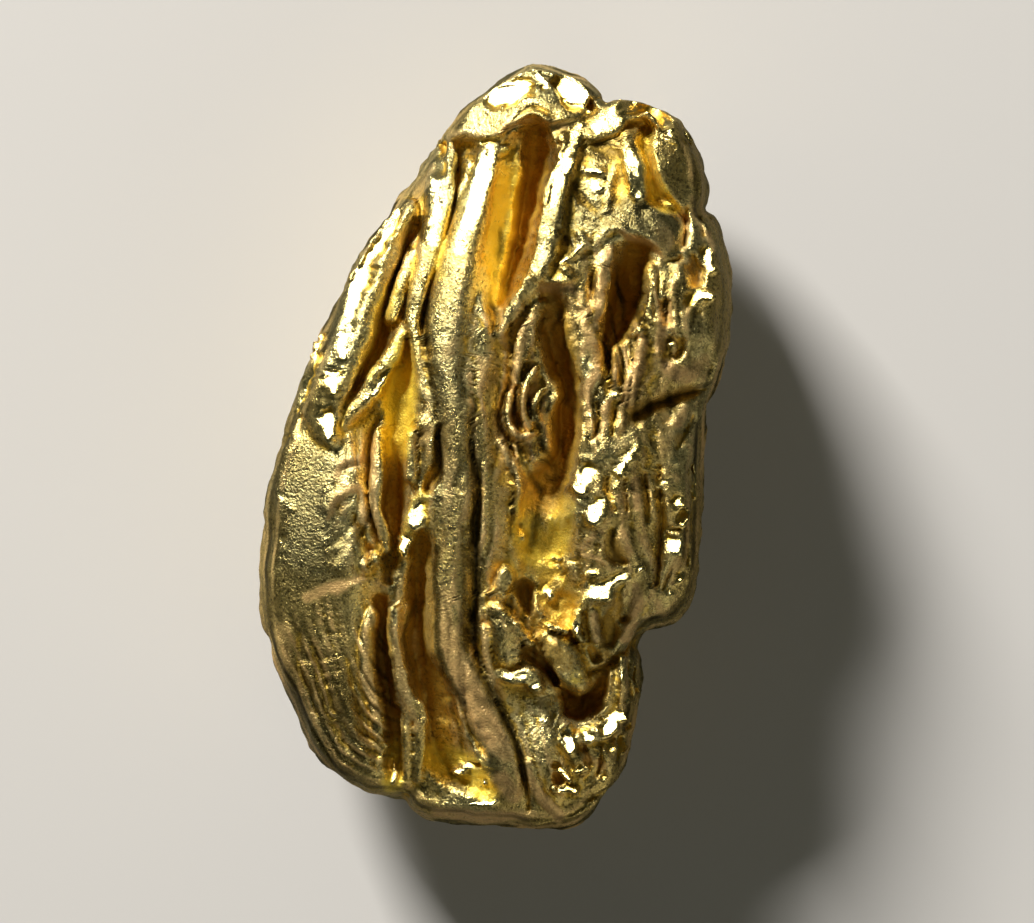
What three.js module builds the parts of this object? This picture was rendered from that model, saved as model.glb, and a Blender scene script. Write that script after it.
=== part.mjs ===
// A water-worn gold nugget, one solid piece, in millimetres with +Z up.
// It lies on its underside: the long way runs along Y with the narrow end at -Y, and the origin
// is the middle of its footprint on the surface it rests on.
// The skin is one closed grid. Cross sections run from the left side of the plan outline to the
// right side; each has steep shoulders and a gentle dome above and an arch below, with strokes
// (ridges and furrows) worked into it, and the underside is worn off flat where it would pass the
// resting surface.
import * as THREE from "three";

// Driving dimensions.
const LENGTH = 19.0;
const DRAWN_LENGTH = 19.0; // the length that the points below are drawn for
const SCALE = LENGTH / DRAWN_LENGTH;
const PARTING_HEIGHT = 3.3; // mean height of the outline above the resting surface
const SHOULDER_RISE = 2.0; // rise of the steep shoulder above the outline
const SHOULDER_RUN = 0.5; // distance in from the outline over which it rises
const SHOULDER_FULLNESS = 2.0; // exponent of its arch: 2 is an ellipse, more is squarer
const DOME_RISE = 1.5; // rise of the gentle dome on top of the shoulder
const DOME_RUN = 5.6; // distance in from the outline over which it rises
const BELLY_DROP = 2.95; // drop of the smooth underside below the outline
const BELLY_RUN = 4.2;
const BELLY_FULLNESS = 1.9;
const END_THINNING = 0.16; // share of its height that the nugget has lost at the narrow end
const GOLD_COLOUR = 0xd9a441;
const GOLD_ROUGHNESS = 0.3;

// Grid of the skin.
const SECTIONS = 76; // steps along the length
const UPPER_STEPS = 38; // steps over the upper side
const UNDER_STEPS = 24; // steps under it
const OUTLINE_STEPS = 200; // steps down each side of the plan outline

// Plan outline as [x, y], down each side from the top end to the bottom end.
const LEFT_SIDE = [
  [1.1, 9.5], [0.6, 9.42], [0.1, 9.12], [-0.55, 8.65], [-1.1, 8.15], [-1.45, 7.55],
  [-1.9, 6.95], [-2.55, 5.95], [-3.15, 5.1], [-3.75, 4.1], [-4.45, 2.7], [-5.1, 1.0],
  [-5.5, -0.3], [-5.75, -1.5], [-5.87, -3.0], [-5.75, -4.6], [-5.3, -5.9], [-4.85, -6.95],
  [-4.35, -7.8], [-3.6, -8.42], [-2.9, -8.68], [-2.3, -8.76], [-1.9, -9.1], [-1.2, -9.33],
  [-0.3, -9.42], [0.6, -9.45],
];
const RIGHT_SIDE = [
  [1.1, 9.5], [1.7, 9.33], [2.35, 9.02], [2.75, 8.7], [3.5, 8.65], [4.3, 8.25],
  [4.85, 7.75], [5.17, 6.9], [5.22, 5.9], [5.58, 5.15], [5.8, 4.0], [5.7, 2.5],
  [5.4, 1.5], [5.2, 0.6], [5.08, -0.9], [5.0, -2.6], [4.75, -3.9], [4.4, -4.35],
  [3.85, -4.53], [3.62, -4.85], [3.58, -6.0], [3.37, -7.0], [3.08, -8.1], [2.6, -8.68],
  [2.1, -9.3], [1.5, -9.5], [0.6, -9.45],
];

// A stroke is a path of [x, y, half width, level]. A ridge's level is the height of its crest
// above the smooth skin, a furrow's is the depth of its floor below it. Strokes are worked in
// the order listed.
const ridge = (...path) => ({ rises: true, path });
const furrow = (...path) => ({ rises: false, path });
const UPPER_STROKES = [
  ridge([-0.9, 8.0, 0.6, 0.1], [0.3, 8.5, 0.8, 0.3], [1.7, 8.55, 0.7, 0.25]), // top dome
  ridge([2.9, 7.6, 1.1, 0.2], [3.7, 7.0, 1.4, 0.4], [4.2, 6.2, 1.1, 0.2]), // upper right lobe
  ridge([4.9, 4.9, 0.8, 0.2], [4.7, 2.9, 1.2, 0.4], [4.5, 2.1, 0.9, 0.2]), // right shoulder
  ridge([4.5, 0.4, 0.7, 0.1], [4.3, -1.8, 1.0, 0.3], [4.1, -3.4, 0.7, 0.1]), // right foot
  ridge([-4.4, -1.0, 1.4, 0.1], [-4.4, -2.6, 1.5, 0.2], [-4.2, -4.4, 1.2, 0.0]), // left flank
  furrow(
    [1.45, 3.6, 0.5, 0.5], [1.55, 2.2, 0.8, 1.3], [1.65, 0.6, 0.6, 1.0],
    [1.2, -1.0, 0.8, 0.9], [1.1, -2.6, 0.8, 0.8], [1.2, -3.9, 0.7, 0.6],
  ), // valley
  furrow(
    [-2.05, 5.8, 0.3, 0.3], [-2.6, 4.4, 0.42, 0.65], [-3.0, 2.6, 0.42, 0.6],
    [-3.7, 1.1, 0.3, 0.2],
  ), // outer furrow
  furrow(
    [-2.1, 3.6, 0.3, 0.4], [-2.35, 1.6, 0.5, 0.8], [-2.45, 0.0, 0.5, 0.85],
    [-2.6, -1.6, 0.4, 0.5], [-2.65, -2.9, 0.25, 0.2],
  ), // middle furrow
  furrow([-0.85, 7.3, 0.35, 0.6], [-1.15, 5.2, 0.3, 0.5], [-1.7, 3.0, 0.25, 0.2]),
  furrow(
    [-1.85, -2.4, 0.4, 0.4], [-1.7, -4.0, 0.5, 0.85], [-1.55, -5.8, 0.6, 0.85],
    [-1.2, -7.2, 0.6, 0.65], [-0.6, -8.2, 0.5, 0.25],
  ), // amber furrow
  furrow(
    [-2.8, -3.6, 0.3, 0.35], [-2.95, -5.0, 0.42, 0.85], [-2.7, -6.3, 0.4, 0.75],
    [-2.5, -7.9, 0.35, 0.3],
  ), // dark furrow
  ridge(
    [-0.2, 7.5, 0.35, 0.05], [-0.5, 6.0, 0.5, 0.3], [-0.85, 4.2, 0.6, 0.35],
    [-1.2, 2.2, 0.7, 0.3], [-0.95, 0.0, 0.55, 0.3], [-1.0, -2.2, 0.55, 0.3],
    [-1.1, -4.6, 0.5, 0.3], [-0.45, -6.7, 0.6, 0.3], [0.3, -8.5, 0.6, 0.1],
  ), // spine
  furrow(
    [0.85, 7.7, 0.5, 0.9], [0.72, 6.9, 0.68, 1.9], [0.5, 5.7, 0.75, 1.9],
    [0.25, 4.4, 0.6, 1.4], [0.0, 3.2, 0.35, 0.4],
  ), // long pit
  furrow([3.4, 4.55, 0.6, 1.0], [3.15, 3.7, 0.62, 1.5], [2.75, 2.5, 0.4, 0.8]), // side pit
  furrow([4.9, 4.4, 0.42, 0.3]), // shoulder pocket
  furrow([3.4, 0.9, 0.4, 0.5], [4.3, 1.25, 0.4, 0.5], [5.0, 1.45, 0.35, 0.3]),
  ridge([0.2, -4.2, 0.6, 0.05], [0.4, -5.0, 0.55, 0.05]), // nodule
  ridge([1.45, -4.6, 0.6, 0.1], [2.0, -5.6, 0.45, 0.0]), // tongue
  ridge([2.8, -3.3, 0.7, 0.2], [3.0, -4.3, 0.65, 0.1]), // lower brow
  furrow([1.75, -6.45, 0.5, 1.0], [2.4, -6.3, 0.5, 0.8]), // lower pit
];
const UNDER_STROKES = [
  ridge([-0.8, 5.2, 1.3, 0.7], [-2.0, 2.4, 1.7, 0.9], [-2.6, 0.4, 1.6, 0.7]),
  ridge([-3.0, -3.2, 1.7, 0.85], [-2.0, -5.6, 1.6, 0.95], [-0.9, -7.0, 1.2, 0.6]),
  ridge([3.0, 5.9, 1.7, 1.6], [2.9, 4.4, 1.5, 1.3], [2.9, 3.4, 1.4, 0.8]),
  ridge([3.2, 1.4, 1.5, 0.75], [2.4, -1.4, 1.7, 0.9], [2.2, -3.4, 1.3, 0.6]),
  ridge([1.6, -6.0, 1.2, 1.3], [1.5, -7.6, 1.1, 1.1]),
  furrow([0.9, 7.6, 0.5, 0.2], [0.8, 4.4, 0.6, 0.5], [0.2, 0.8, 0.6, 0.5], [0.1, -3.4, 0.6, 0.5]),
  furrow([1.8, 2.6, 0.6, 0.4], [4.6, 3.4, 0.6, 0.4]),
  furrow([-4.4, -1.2, 0.6, 0.4], [-0.6, -1.8, 0.6, 0.5]),
];
const RIDGE_SLOPE = 0.7; // fall of a ridge at its half width, as a share of the half width
const TURN = 0.15; // width of the soft turn where two ridges meet
const REACH = 2.0; // half widths past which a stroke leaves the surface alone

// Runs smoothly from 0 to 1 as the value goes from one end of a range to the other.
function smoothStep(from, to, value) {
  const t = Math.min(1, Math.max(0, (value - from) / (to - from)));
  return t * t * (3 - 2 * t);
}

// The height of the outline, which wanders gently round the nugget.
function partingHeight(x, y) {
  return PARTING_HEIGHT + 0.25 * Math.sin(0.33 * y + 0.6) + 0.2 * Math.sin(0.5 * x - 0.8);
}

// The arch of a section: 0 on the outline, 1 at the full run in from it.
function arch(inset, run, fullness, y) {
  const out = 1 - Math.min(1, inset / run);
  const thinning = 1 - END_THINNING * smoothStep(1, -9, y);
  return thinning * Math.pow(Math.max(0, 1 - Math.pow(out, fullness)), 1 / fullness);
}

// The nearest point of a path: its distance, half width and level.
function nearestOn(path, x, y) {
  let best = null;
  const last = Math.max(1, path.length - 1);
  for (let i = 0; i < last; i++) {
    const a = path[i];
    const b = path[Math.min(i + 1, path.length - 1)];
    const dx = b[0] - a[0];
    const dy = b[1] - a[1];
    const along = ((x - a[0]) * dx + (y - a[1]) * dy) / (dx * dx + dy * dy || 1);
    const t = Math.min(1, Math.max(0, along));
    const distance = Math.hypot(x - a[0] - t * dx, y - a[1] - t * dy);
    if (best === null || distance < best.distance) {
      best = { distance, halfWidth: a[2] + t * (b[2] - a[2]), level: a[3] + t * (b[3] - a[3]) };
    }
  }
  return best;
}

// The higher of two heights with a soft turn between them.
function softMax(a, b) {
  const near = Math.max(0, TURN - Math.abs(a - b)) / TURN;
  return Math.max(a, b) + near * near * TURN * 0.25;
}

// How far the strokes raise a point above its smooth skin.
function relief(strokes, x, y) {
  let height = 0;
  for (const { rises, path } of strokes) {
    const { distance, halfWidth, level } = nearestOn(path, x, y);
    const share = distance / halfWidth;
    if (share > REACH) continue;
    if (rises) {
      height = softMax(height, level - RIDGE_SLOPE * halfWidth * share * share);
    } else {
      height -= level * Math.exp(-1.3 * share * share);
    }
  }
  return height;
}

const toCurve = (points) =>
  new THREE.CatmullRomCurve3(points.map(([x, y]) => new THREE.Vector3(x, y, 0)), false, "centripetal");
const leftCurve = toCurve(LEFT_SIDE);
const rightCurve = toCurve(RIGHT_SIDE);
const outline = [
  ...leftCurve.getSpacedPoints(OUTLINE_STEPS),
  ...rightCurve.getSpacedPoints(OUTLINE_STEPS).reverse(),
].map((p) => [p.x, p.y, 1, 0]);
const outlinePitch = (leftCurve.getLength() + rightCurve.getLength()) / (2 * OUTLINE_STEPS);

// The distance in from the outline. Near it this is the plain distance; farther in, every part of
// the outline counts by the inverse fourth power of its distance, so that no crease runs down the
// middle where the nearest side changes.
function insetAt(x, y) {
  const nearest = nearestOn(outline, x, y).distance;
  const pull = outline.reduce((sum, [u, v]) => sum + outlinePitch / ((x - u) ** 2 + (y - v) ** 2) ** 2, 0);
  const even = Math.pow((2 * pull) / Math.PI, -1 / 3);
  return nearest + (1.2 * even - nearest) * smoothStep(0.2, 1.6, nearest);
}

// A point of the skin: across runs from 0 on the left side to 1 on the right side.
function skinPoint(section, across, upper) {
  const left = leftCurve.getPointAt(section / SECTIONS);
  const right = rightCurve.getPointAt(section / SECTIONS);
  const x = left.x + across * (right.x - left.x);
  const y = left.y + across * (right.y - left.y);
  const inset = insetAt(x, y);
  const parting = partingHeight(x, y);
  if (upper) {
    const lift = arch(inset, SHOULDER_RUN, SHOULDER_FULLNESS, y);
    const dome = DOME_RISE * (1 - (1 - Math.min(1, inset / DOME_RUN)) ** 2);
    const worked = relief(UPPER_STROKES, x, y) * Math.min(1, 1.2 * lift);
    return [x, y, parting + SHOULDER_RISE * lift + dome + worked];
  }
  const lift = arch(inset, BELLY_RUN, BELLY_FULLNESS, y);
  const drop = BELLY_DROP * lift + relief(UNDER_STROKES, x, y) * lift;
  return [x, y, Math.max(0, parting - drop)];
}

// The closed grid: a ring of points per section, and one point at each end.
function skinGeometry() {
  const ring = UPPER_STEPS + UNDER_STEPS;
  const points = [skinPoint(0, 0, true)];
  for (let section = 1; section < SECTIONS; section++) {
    for (let step = 0; step < ring; step++) {
      const upper = step < UPPER_STEPS;
      const turn = upper ? step / UPPER_STEPS : 1 - (step - UPPER_STEPS) / UNDER_STEPS;
      points.push(skinPoint(section, (1 - Math.cos(Math.PI * turn)) / 2, upper));
    }
  }
  points.push(skinPoint(SECTIONS, 0, true));
  const at = (section, step) => 1 + (section - 1) * ring + (step % ring);
  const faces = [];
  for (let step = 0; step < ring; step++) {
    faces.push(0, at(1, step), at(1, step + 1));
    faces.push(points.length - 1, at(SECTIONS - 1, step + 1), at(SECTIONS - 1, step));
    for (let section = 1; section < SECTIONS - 1; section++) {
      const [a, b] = [at(section, step), at(section, step + 1)];
      const [c, d] = [at(section + 1, step), at(section + 1, step + 1)];
      faces.push(a, c, d, a, d, b);
    }
  }
  const geometry = new THREE.BufferGeometry();
  geometry.setAttribute("position", new THREE.Float32BufferAttribute(points.flat(), 3));
  geometry.setIndex(faces);
  geometry.scale(SCALE, SCALE, SCALE);
  geometry.computeBoundingBox();
  const middle = geometry.boundingBox.getCenter(new THREE.Vector3());
  geometry.translate(-middle.x, -middle.y, -geometry.boundingBox.min.z);
  geometry.computeVertexNormals();
  return geometry;
}

const gold = new THREE.MeshStandardMaterial({
  name: "gold",
  color: GOLD_COLOUR,
  roughness: GOLD_ROUGHNESS,
  metalness: 1.0,
});
const nugget = new THREE.Mesh(skinGeometry(), gold);
nugget.name = "nugget";

const group = new THREE.Group();
group.name = "gold_nugget";
group.add(nugget);
export default group;
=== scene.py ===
"""A water-worn gold nugget that lies on its underside, in plain studio light.

The nugget is one closed skin: a grid of two parameters, one along the nugget from its broad end to
its narrow end, the other round each section. A smooth pillow shape follows the plan outline, and
strokes (ribs, cuts, creases, lips and swells) are worked into it one after another. Bruised flat
faces come last. Strokes of tint, and how fresh or sunken the metal is, lie on the skin's points as
named values that the finish reads. The tints are painted light, painted shade and painted
reflection, with some grit in the pits.
"""

import logging
import math
from dataclasses import dataclass, field
from enum import Enum

import bpy
import numpy as np
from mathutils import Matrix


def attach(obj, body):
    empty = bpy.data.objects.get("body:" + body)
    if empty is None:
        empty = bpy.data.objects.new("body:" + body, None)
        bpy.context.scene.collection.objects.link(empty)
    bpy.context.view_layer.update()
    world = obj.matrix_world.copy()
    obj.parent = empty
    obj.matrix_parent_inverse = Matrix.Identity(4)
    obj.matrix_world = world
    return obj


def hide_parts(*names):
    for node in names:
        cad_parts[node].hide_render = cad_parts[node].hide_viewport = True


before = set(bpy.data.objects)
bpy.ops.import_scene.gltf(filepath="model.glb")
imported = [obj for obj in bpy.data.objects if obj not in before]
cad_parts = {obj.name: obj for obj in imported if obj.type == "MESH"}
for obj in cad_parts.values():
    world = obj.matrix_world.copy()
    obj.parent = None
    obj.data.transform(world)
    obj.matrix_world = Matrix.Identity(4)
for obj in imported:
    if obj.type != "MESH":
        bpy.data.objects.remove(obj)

LOG = logging.getLogger("nugget")
MM = 0.001  # the shapes are drawn in millimetres, and Blender works in metres

Drawn = tuple[float, float, float, float]  # x, y, half width, and level or strength
Colour = tuple[float, float, float, float]  # red, green, blue and alpha
Socket = bpy.types.NodeSocket


def smooth_step(low: float, high: float, value: np.ndarray) -> np.ndarray:
    """Run smoothly from 0 to 1 as a value goes from low to high.

    Args:
        low: The value where the step starts.
        high: The value where it ends.
        value: The values to step.

    Returns:
        3t squared minus 2t cubed, where t is the share of the way, held between 0 and 1.
    """
    t = np.clip((value - low) / (high - low), 0.0, 1.0)
    return t * t * (3.0 - 2.0 * t)


def through_points(points: np.ndarray, steps: int) -> np.ndarray:
    """Draw a smooth curve through drawn points.

    Each stretch is the Catmull-Rom cubic of its two ends and their neighbours.

    Args:
        points: One row per drawn point, with any number of values.
        steps: Stretches to make between two drawn points.

    Returns:
        The points of the curve, one row each.
    """
    if len(points) < 2:
        return points
    ends = np.vstack([2 * points[0] - points[1], points, 2 * points[-1] - points[-2]])
    t = (np.arange(steps) / steps)[None, :, None]
    a, b, c, d = (ends[k : len(ends) - 3 + k][:, None, :] for k in range(4))
    cubic = b + 0.5 * t * (c - a + t * (2 * a - 5 * b + 4 * c - d + t * (3 * (b - c) + d - a)))
    return np.vstack([cubic.reshape(-1, points.shape[1]), points[-1]])


def nearest(
    path: np.ndarray, x: np.ndarray, y: np.ndarray
) -> tuple[np.ndarray, np.ndarray, np.ndarray]:
    """Find the nearest point of a path.

    Args:
        path: Points of the path, each with its x and y first.
        x: Across positions.
        y: Lengthwise positions.

    Returns:
        The distance, the side (1 on the left of the path's way, -1 on the right), and every value
        of the path at its nearest point, one row per value.
    """
    if len(path) == 1:
        distance = np.hypot(x - path[0, 0], y - path[0, 1])
        return distance, np.ones_like(x), np.tile(path[0][:, None], (1, x.size))
    start, span = path[:-1, :, None], np.diff(path, axis=0)[:, :, None]
    to_x, to_y = x[None] - start[:, 0], y[None] - start[:, 1]
    length = span[:, 0] ** 2 + span[:, 1] ** 2 + 1e-12
    along = np.clip((to_x * span[:, 0] + to_y * span[:, 1]) / length, 0, 1)
    gap = np.hypot(to_x - along * span[:, 0], to_y - along * span[:, 1])
    best = gap.argmin(0)
    pick = np.arange(x.size)
    side = np.sign(span[best, 0, 0] * to_y[best, pick] - span[best, 1, 0] * to_x[best, pick])
    foot = start[best, :, 0].T + along[best, pick] * span[best, :, 0].T
    return gap[best, pick], side, foot


def within_reach(path: np.ndarray, reach: float, x: np.ndarray, y: np.ndarray) -> np.ndarray:
    """Pick the points inside the box round a path.

    Args:
        path: Points of the path, each with its x and y first.
        reach: How far the box goes past the path on every side.
        x: Across positions.
        y: Lengthwise positions.

    Returns:
        True where a point is inside the box.
    """
    low, high = path[:, :2].min(0) - reach, path[:, :2].max(0) + reach
    return (x > low[0]) & (x < high[0]) & (y > low[1]) & (y < high[1])


class GradientNoise:
    """Smooth seeded noise in space, between about -1 and 1."""

    def __init__(self, seed: int) -> None:
        """Shuffle the lattice and pick its gradients.

        Args:
            seed: The seed of the shuffle.
        """
        dice = np.random.default_rng(seed)
        self.order = np.tile(dice.permutation(256), 3)
        slopes = dice.normal(size=(256, 3))
        self.slopes = slopes / np.linalg.norm(slopes, axis=1, keepdims=True)

    def at(self, x: np.ndarray, y: np.ndarray, z: np.ndarray) -> np.ndarray:
        """Evaluate the noise.

        The value is the sum over the eight corners of the unit cell of the corner's gradient dotted
        with the way to it, faded by a fifth-power step along each axis.

        Args:
            x: First coordinate, in cells.
            y: Second coordinate.
            z: Third coordinate.

        Returns:
            The noise at each point.
        """
        cell = [np.floor(v).astype(int) for v in (x, y, z)]
        part = [v - c for v, c in zip((x, y, z), cell)]
        fade = [p * p * p * (p * (p * 6 - 15) + 10) for p in part]
        total = np.zeros(np.shape(x))
        for corner in range(8):
            bits = [(corner >> k) & 1 for k in range(3)]
            key = self.order[(cell[0] + bits[0]) & 255]
            key = self.order[key + ((cell[1] + bits[1]) & 255)]
            slope = self.slopes[self.order[key + ((cell[2] + bits[2]) & 255)]]
            weight = np.ones(np.shape(x))
            reach = np.zeros(np.shape(x))
            for k in range(3):
                weight = weight * (fade[k] if bits[k] else 1 - fade[k])
                reach = reach + slope[..., k] * (part[k] - bits[k])
            total += weight * reach
        return total * 1.5

    def layered(self, points: np.ndarray, size: float, layers: int, gain: float = 0.5) -> np.ndarray:
        """Add up finer and finer layers of noise.

        Args:
            points: Points in millimetres, with the coordinates last.
            size: Size of the coarsest lumps, in millimetres.
            layers: Number of layers, each half the size of the one before.
            gain: Strength of each layer, as a share of the one before.

        Returns:
            The sum at each point.
        """
        total = np.zeros(points.shape[:-1])
        for layer in range(layers):
            x, y, z = np.moveaxis(points * (2.0**layer / size), -1, 0)
            total += gain**layer * self.at(x + 17.3 * layer, y + 5.1 * layer, z + 9.7 * layer)
        return total

    def creased(self, points: np.ndarray, size: float, layers: int, gain: float = 0.55) -> np.ndarray:
        """Add up layers that have sharp valleys and rounded tops, like crumpled metal.

        Args:
            points: Points in millimetres, with the coordinates last.
            size: Size of the coarsest lumps, in millimetres.
            layers: Number of layers, each half the size of the one before.
            gain: Strength of each layer, as a share of the one before.

        Returns:
            The sum of the absolute noise of each layer, less its usual mean.
        """
        total = np.zeros(points.shape[:-1])
        for layer in range(layers):
            x, y, z = np.moveaxis(points * (2.0**layer / size), -1, 0)
            noise = self.at(x + 31.7 * layer, y + 11.3 * layer, z + 3.9 * layer)
            total += gain**layer * (np.sqrt(noise * noise + 0.003) - 0.3)
        return total


class Stroke(Enum):
    """The ways of working a path into the skin."""

    SWELL = "a broad soft rise"
    RIB = "a rounded ridge laid over what is there"
    CUT = "a trough with a flat floor and steep sides"
    CREASE = "a narrow sharp valley"
    LIP = "an edge: raised to the left of the path's way, with a cliff along it"


@dataclass(frozen=True)
class Mark:
    """One stroke along a path.

    Attributes:
        kind: How the path is worked into the skin.
        path: Drawn points as (x, y, half width, level), in millimetres. The level is a height for
            a swell, rib or lip and a depth for a cut or crease, measured from the smooth skin.
    """

    kind: Stroke
    path: tuple[Drawn, ...]

    def work(self, height: np.ndarray, x: np.ndarray, y: np.ndarray) -> None:
        """Work this stroke into a height map, in place.

        With d the distance from the path as a share of its half width: a swell adds
        level * exp(-1.2 d squared); a cut takes away level * (1 - step from 0.3 to 1.15);
        a crease takes away level * exp(-3 d); a lip adds level * exp(-1.6 d) on its left side;
        and a rib raises the surface to level - 0.85 half widths * (1 - root of 1 - d squared).

        Args:
            height: Height above the smooth skin at each point, in millimetres; it is changed.
            x: Across position of each point.
            y: Lengthwise position of each point.
        """
        path = through_points(np.array(self.path, dtype=float), 5)
        near = within_reach(path, 1.9 * path[:, 2].max() + 0.1, x, y)
        if not near.any():
            return
        distance, side, foot = nearest(path, x[near], y[near])
        half, level = foot[2], foot[3]
        share = distance / half
        old = height[near]
        if self.kind is Stroke.SWELL:
            new = old + level * np.exp(-1.2 * share**2) * (1 - smooth_step(1.4, 1.9, share))
        elif self.kind is Stroke.CUT:
            new = old - level * (1 - smooth_step(0.3, 1.15, share))
        elif self.kind is Stroke.CREASE:
            new = old - level * np.exp(-3.0 * share) * (1 - smooth_step(1.2, 1.7, share))
        elif self.kind is Stroke.LIP:
            raised = smooth_step(-0.06, 0.08, side * distance)
            new = old + level * raised * np.exp(-1.6 * share) * (1 - smooth_step(1.2, 1.8, share))
        else:
            round_side = 1 - np.sqrt(np.clip(1 - share**2, 0, 1))
            top = level - 0.85 * half * round_side - 3.0 * np.clip(share - 1, 0, None)
            blend = 0.06
            mix = np.clip(0.5 + 0.5 * (top - old) / blend, 0, 1)
            new = old + (top - old) * mix + blend * mix * (1 - mix)
        height[near] = new


def swell(*path: Drawn) -> Mark:
    """Draw a swell."""
    return Mark(Stroke.SWELL, path)


def rib(*path: Drawn) -> Mark:
    """Draw a rib."""
    return Mark(Stroke.RIB, path)


def cut(*path: Drawn) -> Mark:
    """Draw a cut."""
    return Mark(Stroke.CUT, path)


def crease(*path: Drawn) -> Mark:
    """Draw a crease."""
    return Mark(Stroke.CREASE, path)


def lip(*path: Drawn) -> Mark:
    """Draw a lip."""
    return Mark(Stroke.LIP, path)


@dataclass(frozen=True)
class Facet:
    """A flat face, bruised or torn across whatever lay there, that leans one way.

    With one or two drawn points it is a plane. With more it is a ribbon that keeps to the levels
    of its middle line and leans only across it.

    Attributes:
        path: Drawn points of its middle line as (x, y, half width, level), in millimetres. The
            level is the height above the mean of what lay there.
        lean: Rise of the face per millimetre across and lengthwise.
    """

    path: tuple[Drawn, ...]
    lean: tuple[float, float] = (0.29, -0.46)

    def reach_of(
        self, path: np.ndarray, x: np.ndarray, y: np.ndarray, fray: np.ndarray
    ) -> tuple[np.ndarray, np.ndarray, np.ndarray]:
        """Find the points that the face reaches, and how much of it each one takes.

        Args:
            path: The middle line, drawn smoothly.
            x: Across position of each point.
            y: Lengthwise position of each point.
            fray: A small shift of each point that makes the edge ragged.

        Returns:
            Which points are near, the share that each near one takes (1 inside, falling to 0 over
            the outer two fifths of the half width), and the values of its nearest path point.
        """
        near = within_reach(path, path[:, 2].max() + 0.1, x, y)
        distance, _, foot = nearest(path, x[near] + fray[near], y[near] - fray[near])
        return near, 1 - smooth_step(0.6, 1.0, distance / foot[2]), foot

    def work(self, height: np.ndarray, x: np.ndarray, y: np.ndarray, fray: np.ndarray) -> None:
        """Work the face into the heights, in place.

        Inside it the height becomes the mean old height round the drawn point, plus the level,
        plus lean . (way from the middle).

        Args:
            height: Height at each point, in millimetres; it is changed.
            x: Across position of each point.
            y: Lengthwise position of each point.
            fray: A small shift of each point that makes the edge ragged.
        """
        drawn = np.array(self.path, dtype=float)
        for point in drawn:
            covered = np.hypot(x - point[0], y - point[1]) < point[2] + 0.03
            point[3] += height[covered].mean()
        near, inside, foot = self.reach_of(through_points(drawn, 4), x, y, fray)
        middle = foot if len(drawn) > 2 else drawn.mean(0)
        way_x, way_y = x[near] - middle[0], y[near] - middle[1]
        plane = middle[3] + self.lean[0] * way_x + self.lean[1] * way_y
        height[near] += inside * (plane - height[near])

    def clean(self, layer: np.ndarray, x: np.ndarray, y: np.ndarray, fray: np.ndarray) -> None:
        """Mark the face in a layer, in place.

        Args:
            layer: How clean each point is; it is changed.
            x: Across position of each point.
            y: Lengthwise position of each point.
            fray: A small shift of each point that makes the edge ragged.
        """
        path = through_points(np.array(self.path, dtype=float), 4)
        near, inside, _ = self.reach_of(path, x, y, fray)
        layer[near] = np.maximum(layer[near], inside)


def face(*path: Drawn) -> Facet:
    """Draw a facet that leans as most of them do."""
    return Facet(path)


class Tint(Enum):
    """Tints on the metal: painted light, painted shade, painted reflection, and grit with painted shade."""

    # Painted light: bright patches where light falls into hollows and grooves.
    PAINTED_LIGHT = "clean bright yellow metal"
    # Grit and painted shade: darkened pits, grooves and overhung walls.
    BROWN = "dark dirt"
    # Painted reflection: warm dull patches on faces that tilt away, as if they mirrored warm surroundings.
    TAN = "a thin dull tan film"
    # Painted shade: darkened creases, fold troughs and flanks.
    SOOT_AND_PAINTED_SHADE = "black packed grime"


@dataclass(frozen=True)
class PaintedLightAndStain:
    """One stroke of a tint along a path; the tints are painted light, painted shade, painted reflection and
    grit with painted shade.

    Attributes:
        tint: The tint.
        path: Drawn points as (x, y, half width, strength), with lengths in millimetres.
    """

    tint: Tint
    path: tuple[Drawn, ...]

    def lay(self, layer: np.ndarray, x: np.ndarray, y: np.ndarray) -> None:
        """Lay the stroke over a layer of the same tint, in place.

        The strength fades by a smooth step from 0.55 to 1.15 half widths, and the stronger of the
        old and the new value stays.

        Args:
            layer: Strength of the tint at each point; it is changed.
            x: Across position of each point.
            y: Lengthwise position of each point.
        """
        path = through_points(np.array(self.path, dtype=float), 4)
        near = within_reach(path, 1.2 * path[:, 2].max(), x, y)
        if not near.any():
            return
        distance, _, foot = nearest(path, x[near], y[near])
        laid = foot[3] * (1 - smooth_step(0.55, 1.15, distance / foot[2]))
        layer[near] = np.maximum(layer[near], laid)


def painted_light(*path: Drawn) -> PaintedLightAndStain:
    """Draw a patch of painted light."""
    return PaintedLightAndStain(Tint.PAINTED_LIGHT, path)


def brown(*path: Drawn) -> PaintedLightAndStain:
    """Draw a patch of grit and painted shade."""
    return PaintedLightAndStain(Tint.BROWN, path)


def tan(*path: Drawn) -> PaintedLightAndStain:
    """Draw a patch of painted warm reflection."""
    return PaintedLightAndStain(Tint.TAN, path)


def soot_and_painted_shade(*path: Drawn) -> PaintedLightAndStain:
    """Draw a patch of painted shade."""
    return PaintedLightAndStain(Tint.SOOT_AND_PAINTED_SHADE, path)


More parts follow.
